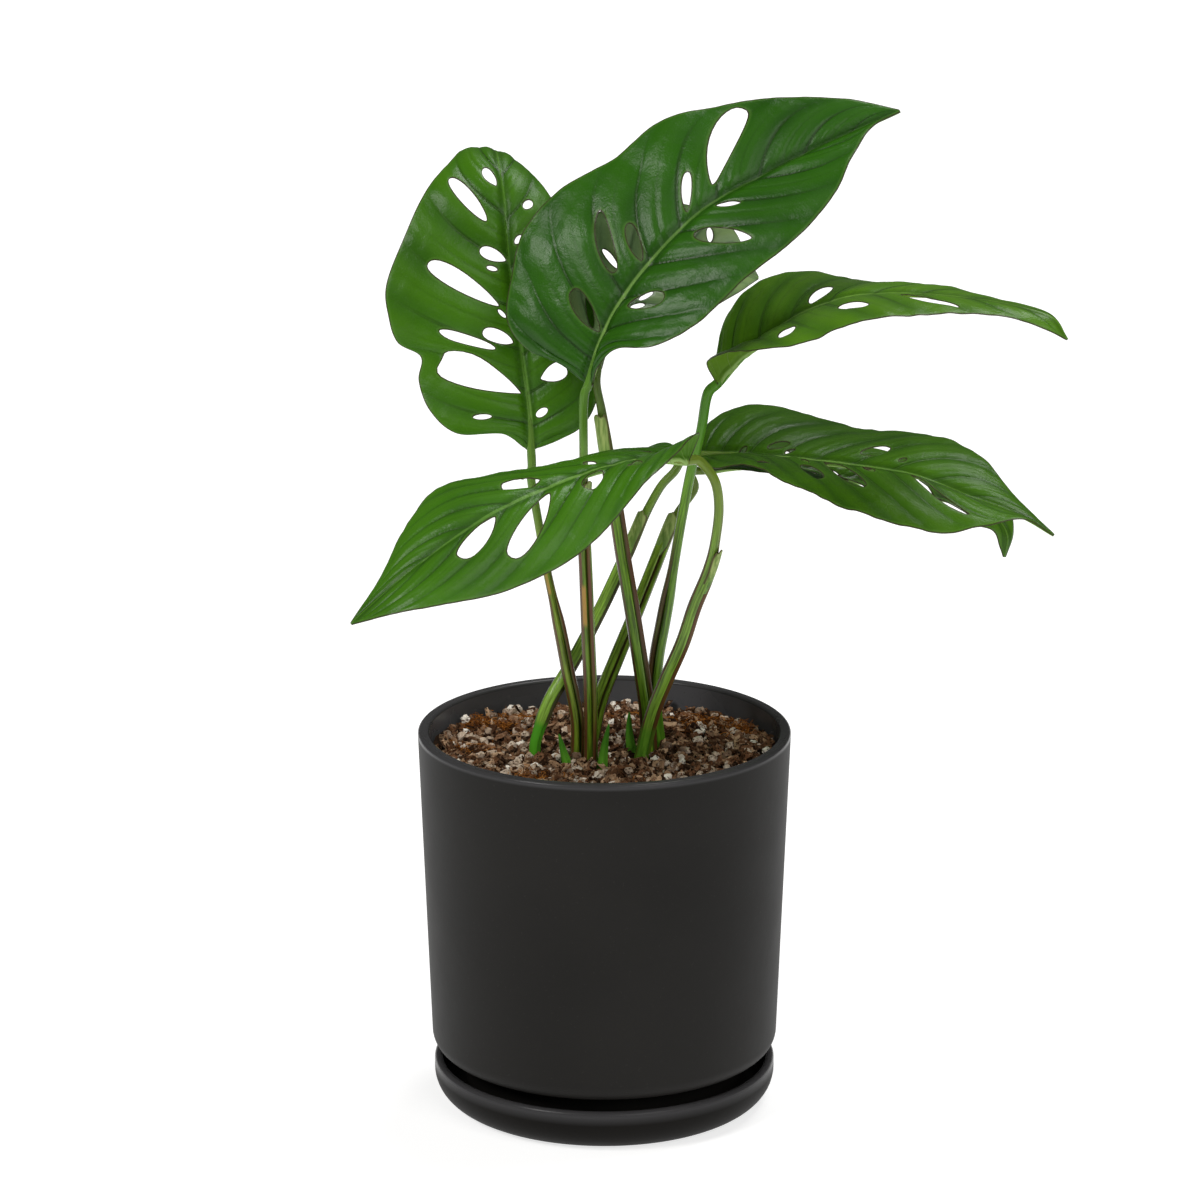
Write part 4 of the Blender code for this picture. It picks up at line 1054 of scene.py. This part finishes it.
class Heap:
    """Many small shapes that become one piece of the mix, each with a tone of its own."""

    def __init__(self):
        self.points, self.faces, self.tones = [], [], []
        self.count = 0

    def add(self, points, faces, tone):
        self.points.append(points)
        self.faces += [[i + self.count for i in face] for face in faces]
        self.tones.append(np.full(len(points), tone))
        self.count += len(points)

    def piece(self, name, made_of, sharp_degrees):
        add_piece(name, np.vstack(self.points), self.faces, [made_of],
                  attributes={"tone": np.concatenate(self.tones)}, sharp_degrees=sharp_degrees)


def blocked_places():
    """Where stems and shoots come out of the mix: (x, y, radius)."""
    places = [(*shape.path[0][:2], shape.radius[0]) for shape in STEMS.values()]
    return places + [(*path[0][:2], 2.4) for path in SHOOTS.values()]


def scatter(name, kind, count, sizes, lift, material, seed):
    """A piece of many grains on the mix, bedded in it by a share of their size."""
    rng = np.random.default_rng(seed)
    stock = [grain_shape(kind, rng) for _ in range(GRAIN_SHAPES)]
    blocked = blocked_places()
    grains = Heap()
    placed = 0
    while placed < count:
        radius = (SOIL_RADIUS - 2.0) * math.sqrt(rng.uniform())
        angle = rng.uniform(0, TAU)
        x, y = radius * math.cos(angle), radius * math.sin(angle)
        size = rng.uniform(*sizes) / 2
        if any(math.hypot(x - bx, y - by) < br + size * 0.8 for bx, by, br in blocked):
            continue
        if radius + size > SOIL_RADIUS:
            continue
        shape, faces = stock[rng.integers(len(stock))]
        shape = (shape * size) @ turn_matrix(rng, 0.6).T
        place = np.array([x, y, soil_height(x, y) + size * rng.uniform(*lift)])
        grains.add(shape + place, faces, rng.uniform())
        placed += 1
    grains.piece(name, material, 28)


def grain_material(name, dark, middle, light, roughness, grain):
    """Grains in tones from dark to light, with rough faces, paler worn spots and dark spots of painted
    shade for pores.
    """
    shader = Shader(name, roughness, 0.07)
    tone = shader.attribute("tone")
    shader.colour = shader.mix(shader.ramp(tone, 0.0, 0.6), dark, middle)
    shader.paint(shader.ramp(tone, 0.6, 1.0), light)
    worn = shader.ramp(shader.noise(grain, 4.0, 0.65), 0.52, 0.72, 0.0, 0.55)
    shader.paint(worn, light)
    # Painted shade: dark spots for the shade inside small pores
    cells = shader.texture("TexVoronoi", None, Scale=grain * 1.3)
    shader.paint(shader.ramp(cells, 0.4, 0.2, 0.0, 0.85), np.array(dark) * 0.5)
    return shader.finish(shader.bump(shader.noise(grain * 1.6, 4.0, 0.65), 0.0012, 1.0))


def coir(name, tufts, seed):
    """Thin curled fibres in tufts, as slim three-sided tubes."""
    rng = np.random.default_rng(seed)
    tube_faces = ring_faces(FIBRE_STEPS + 1, 3)
    angles = np.arange(3)[:, None] * TAU / 3
    fibres = Heap()
    for x0, y0, spread, count in tufts:
        for _ in range(count):
            x, y = x0 + rng.normal(0, spread), y0 + rng.normal(0, spread * 0.7)
            if math.hypot(x, y) > SOIL_RADIUS - 2.5:
                continue
            line = [np.array([x, y, soil_height(x, y) + rng.uniform(0.2, 2.0)])]
            heading = unit(rng.normal(size=3) * np.array([1, 1, 0.35]))
            for _ in range(FIBRE_STEPS):
                heading = unit(heading + rng.normal(0, 0.33, 3) * np.array([1, 1, 0.5]))
                line.append(line[-1] + heading * rng.uniform(0.7, 1.2))
            line = np.array(line)
            if (np.hypot(line[:, 0], line[:, 1]) > SOIL_RADIUS - 0.8).any():
                continue
            ground = soil_height(line[:, 0], line[:, 1])
            line[:, 2] = np.clip(line[:, 2], ground + 0.1, ground + 4.0)
            tangents = unit(np.gradient(line, axis=0))
            side = unit(np.cross(tangents, (0.2, 0.3, 1.0)))[:, None]
            up = np.cross(side, tangents[:, None])
            round_line = rng.uniform(0.10, 0.2) * (np.cos(angles) * side + np.sin(angles) * up)
            fibres.add((line[:, None] + round_line).reshape(-1, 3), tube_faces, rng.uniform())
    made_of = grain_material("coir fibre", (0.07, 0.02, 0.004), (0.26, 0.085, 0.012),
                             (0.50, 0.20, 0.04), 0.85, 300.0)
    fibres.piece(name, made_of, 80)


def mix_bed():
    """The CAD's soil keeps its place; it gets a dark crumbly skin."""
    shader = Shader("peat", 0.95, 0.07)
    crumbs = shader.noise(260.0, 5.0, 0.7)
    shader.colour = shader.mix(shader.ramp(crumbs, 0.35, 0.7), (0.012, 0.006, 0.0035),
                               (0.06, 0.032, 0.017))
    peat = shader.finish(shader.bump(crumbs, 0.002, 0.9))
    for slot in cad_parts["soil"].material_slots:
        slot.material = peat


def potting_mix():
    mix_bed()
    scatter("peat_crumbs", "lump", 1700, (1.0, 2.4), (-0.1, 0.7),
            grain_material("peat crumb", (0.014, 0.006, 0.003), (0.06, 0.028, 0.014), (0.22, 0.13, 0.075),
                           0.95, 700.0), 11)
    scatter("bark_chips", "chip", 2700, (2.4, 7.0), (0.1, 0.8),
            grain_material("bark chip", (0.024, 0.010, 0.0045), (0.17, 0.078, 0.037), (0.56, 0.37, 0.23),
                           0.8, 500.0), 12)
    scatter("pumice_grains", "lump", 480, (2.2, 5.0), (0.4, 1.2),
            grain_material("pumice", (0.17, 0.10, 0.06), (0.58, 0.45, 0.34), (0.95, 0.88, 0.78),
                           0.9, 520.0), 13)
    coir("coir_fibres", [(-52, 34, 6, 420), (-40, 44, 4, 160), (48, 38, 7, 380), (60, 24, 5, 200),
                         (-33, -50, 6, 220), (20, 50, 8, 100), (-60, -5, 5, 80), (10, -58, 6, 60)], 14)


# Floor, light and camera


def studio():
    bpy.ops.mesh.primitive_plane_add(size=9.0, location=(0, 0, 0))
    floor = bpy.context.object
    floor.name = "floor"
    shader = Shader("floor", 0.9, 0.1)
    shader.inputs["Base Color"].default_value = (0.5, 0.5, 0.5, 1)
    shader.inputs["Emission Color"].default_value = (1.0, 1.0, 1.0, 1)
    shader.inputs["Emission Strength"].default_value = FLOOR_GLOW
    floor.data.materials.append(shader.material)

    world = bpy.data.worlds.new("studio")
    bpy.context.scene.world = world
    world.use_nodes = True
    background = world.node_tree.nodes["Background"]
    background.inputs[0].default_value = (1.0, 1.0, 1.0, 1)
    background.inputs[1].default_value = WORLD_LIGHT

    for name, place, spread, strength, colour in SOFT_LIGHTS:
        data = bpy.data.lights.new(name, "SUN")
        data.angle = math.radians(spread)
        data.energy = strength
        data.color = colour
        add_object(name, data).rotation_euler = Vector(place).to_track_quat("Z", "Y").to_euler()
    bpy.context.scene.view_settings.view_transform = "Standard"


def camera():
    data = bpy.data.cameras.new("photo view")
    data.lens = LENS
    data.sensor_width = 36.0
    data.clip_start, data.clip_end = 0.05, 30.0
    made = add_object("photo view", data)
    made.location = Vector(EYE) * MM
    made.rotation_euler = (math.radians(90 - PITCH_DOWN), 0, 0)
    bpy.context.scene.camera = made


def build():
    camera()
    studio()
    saucer()
    pot()
    potting_mix()
    flap_material = flap_green()
    for name in STEMS:
        stem(name, flap_material)
        leaf(name)
    for name in SHOOTS:
        shoot(name)


build()
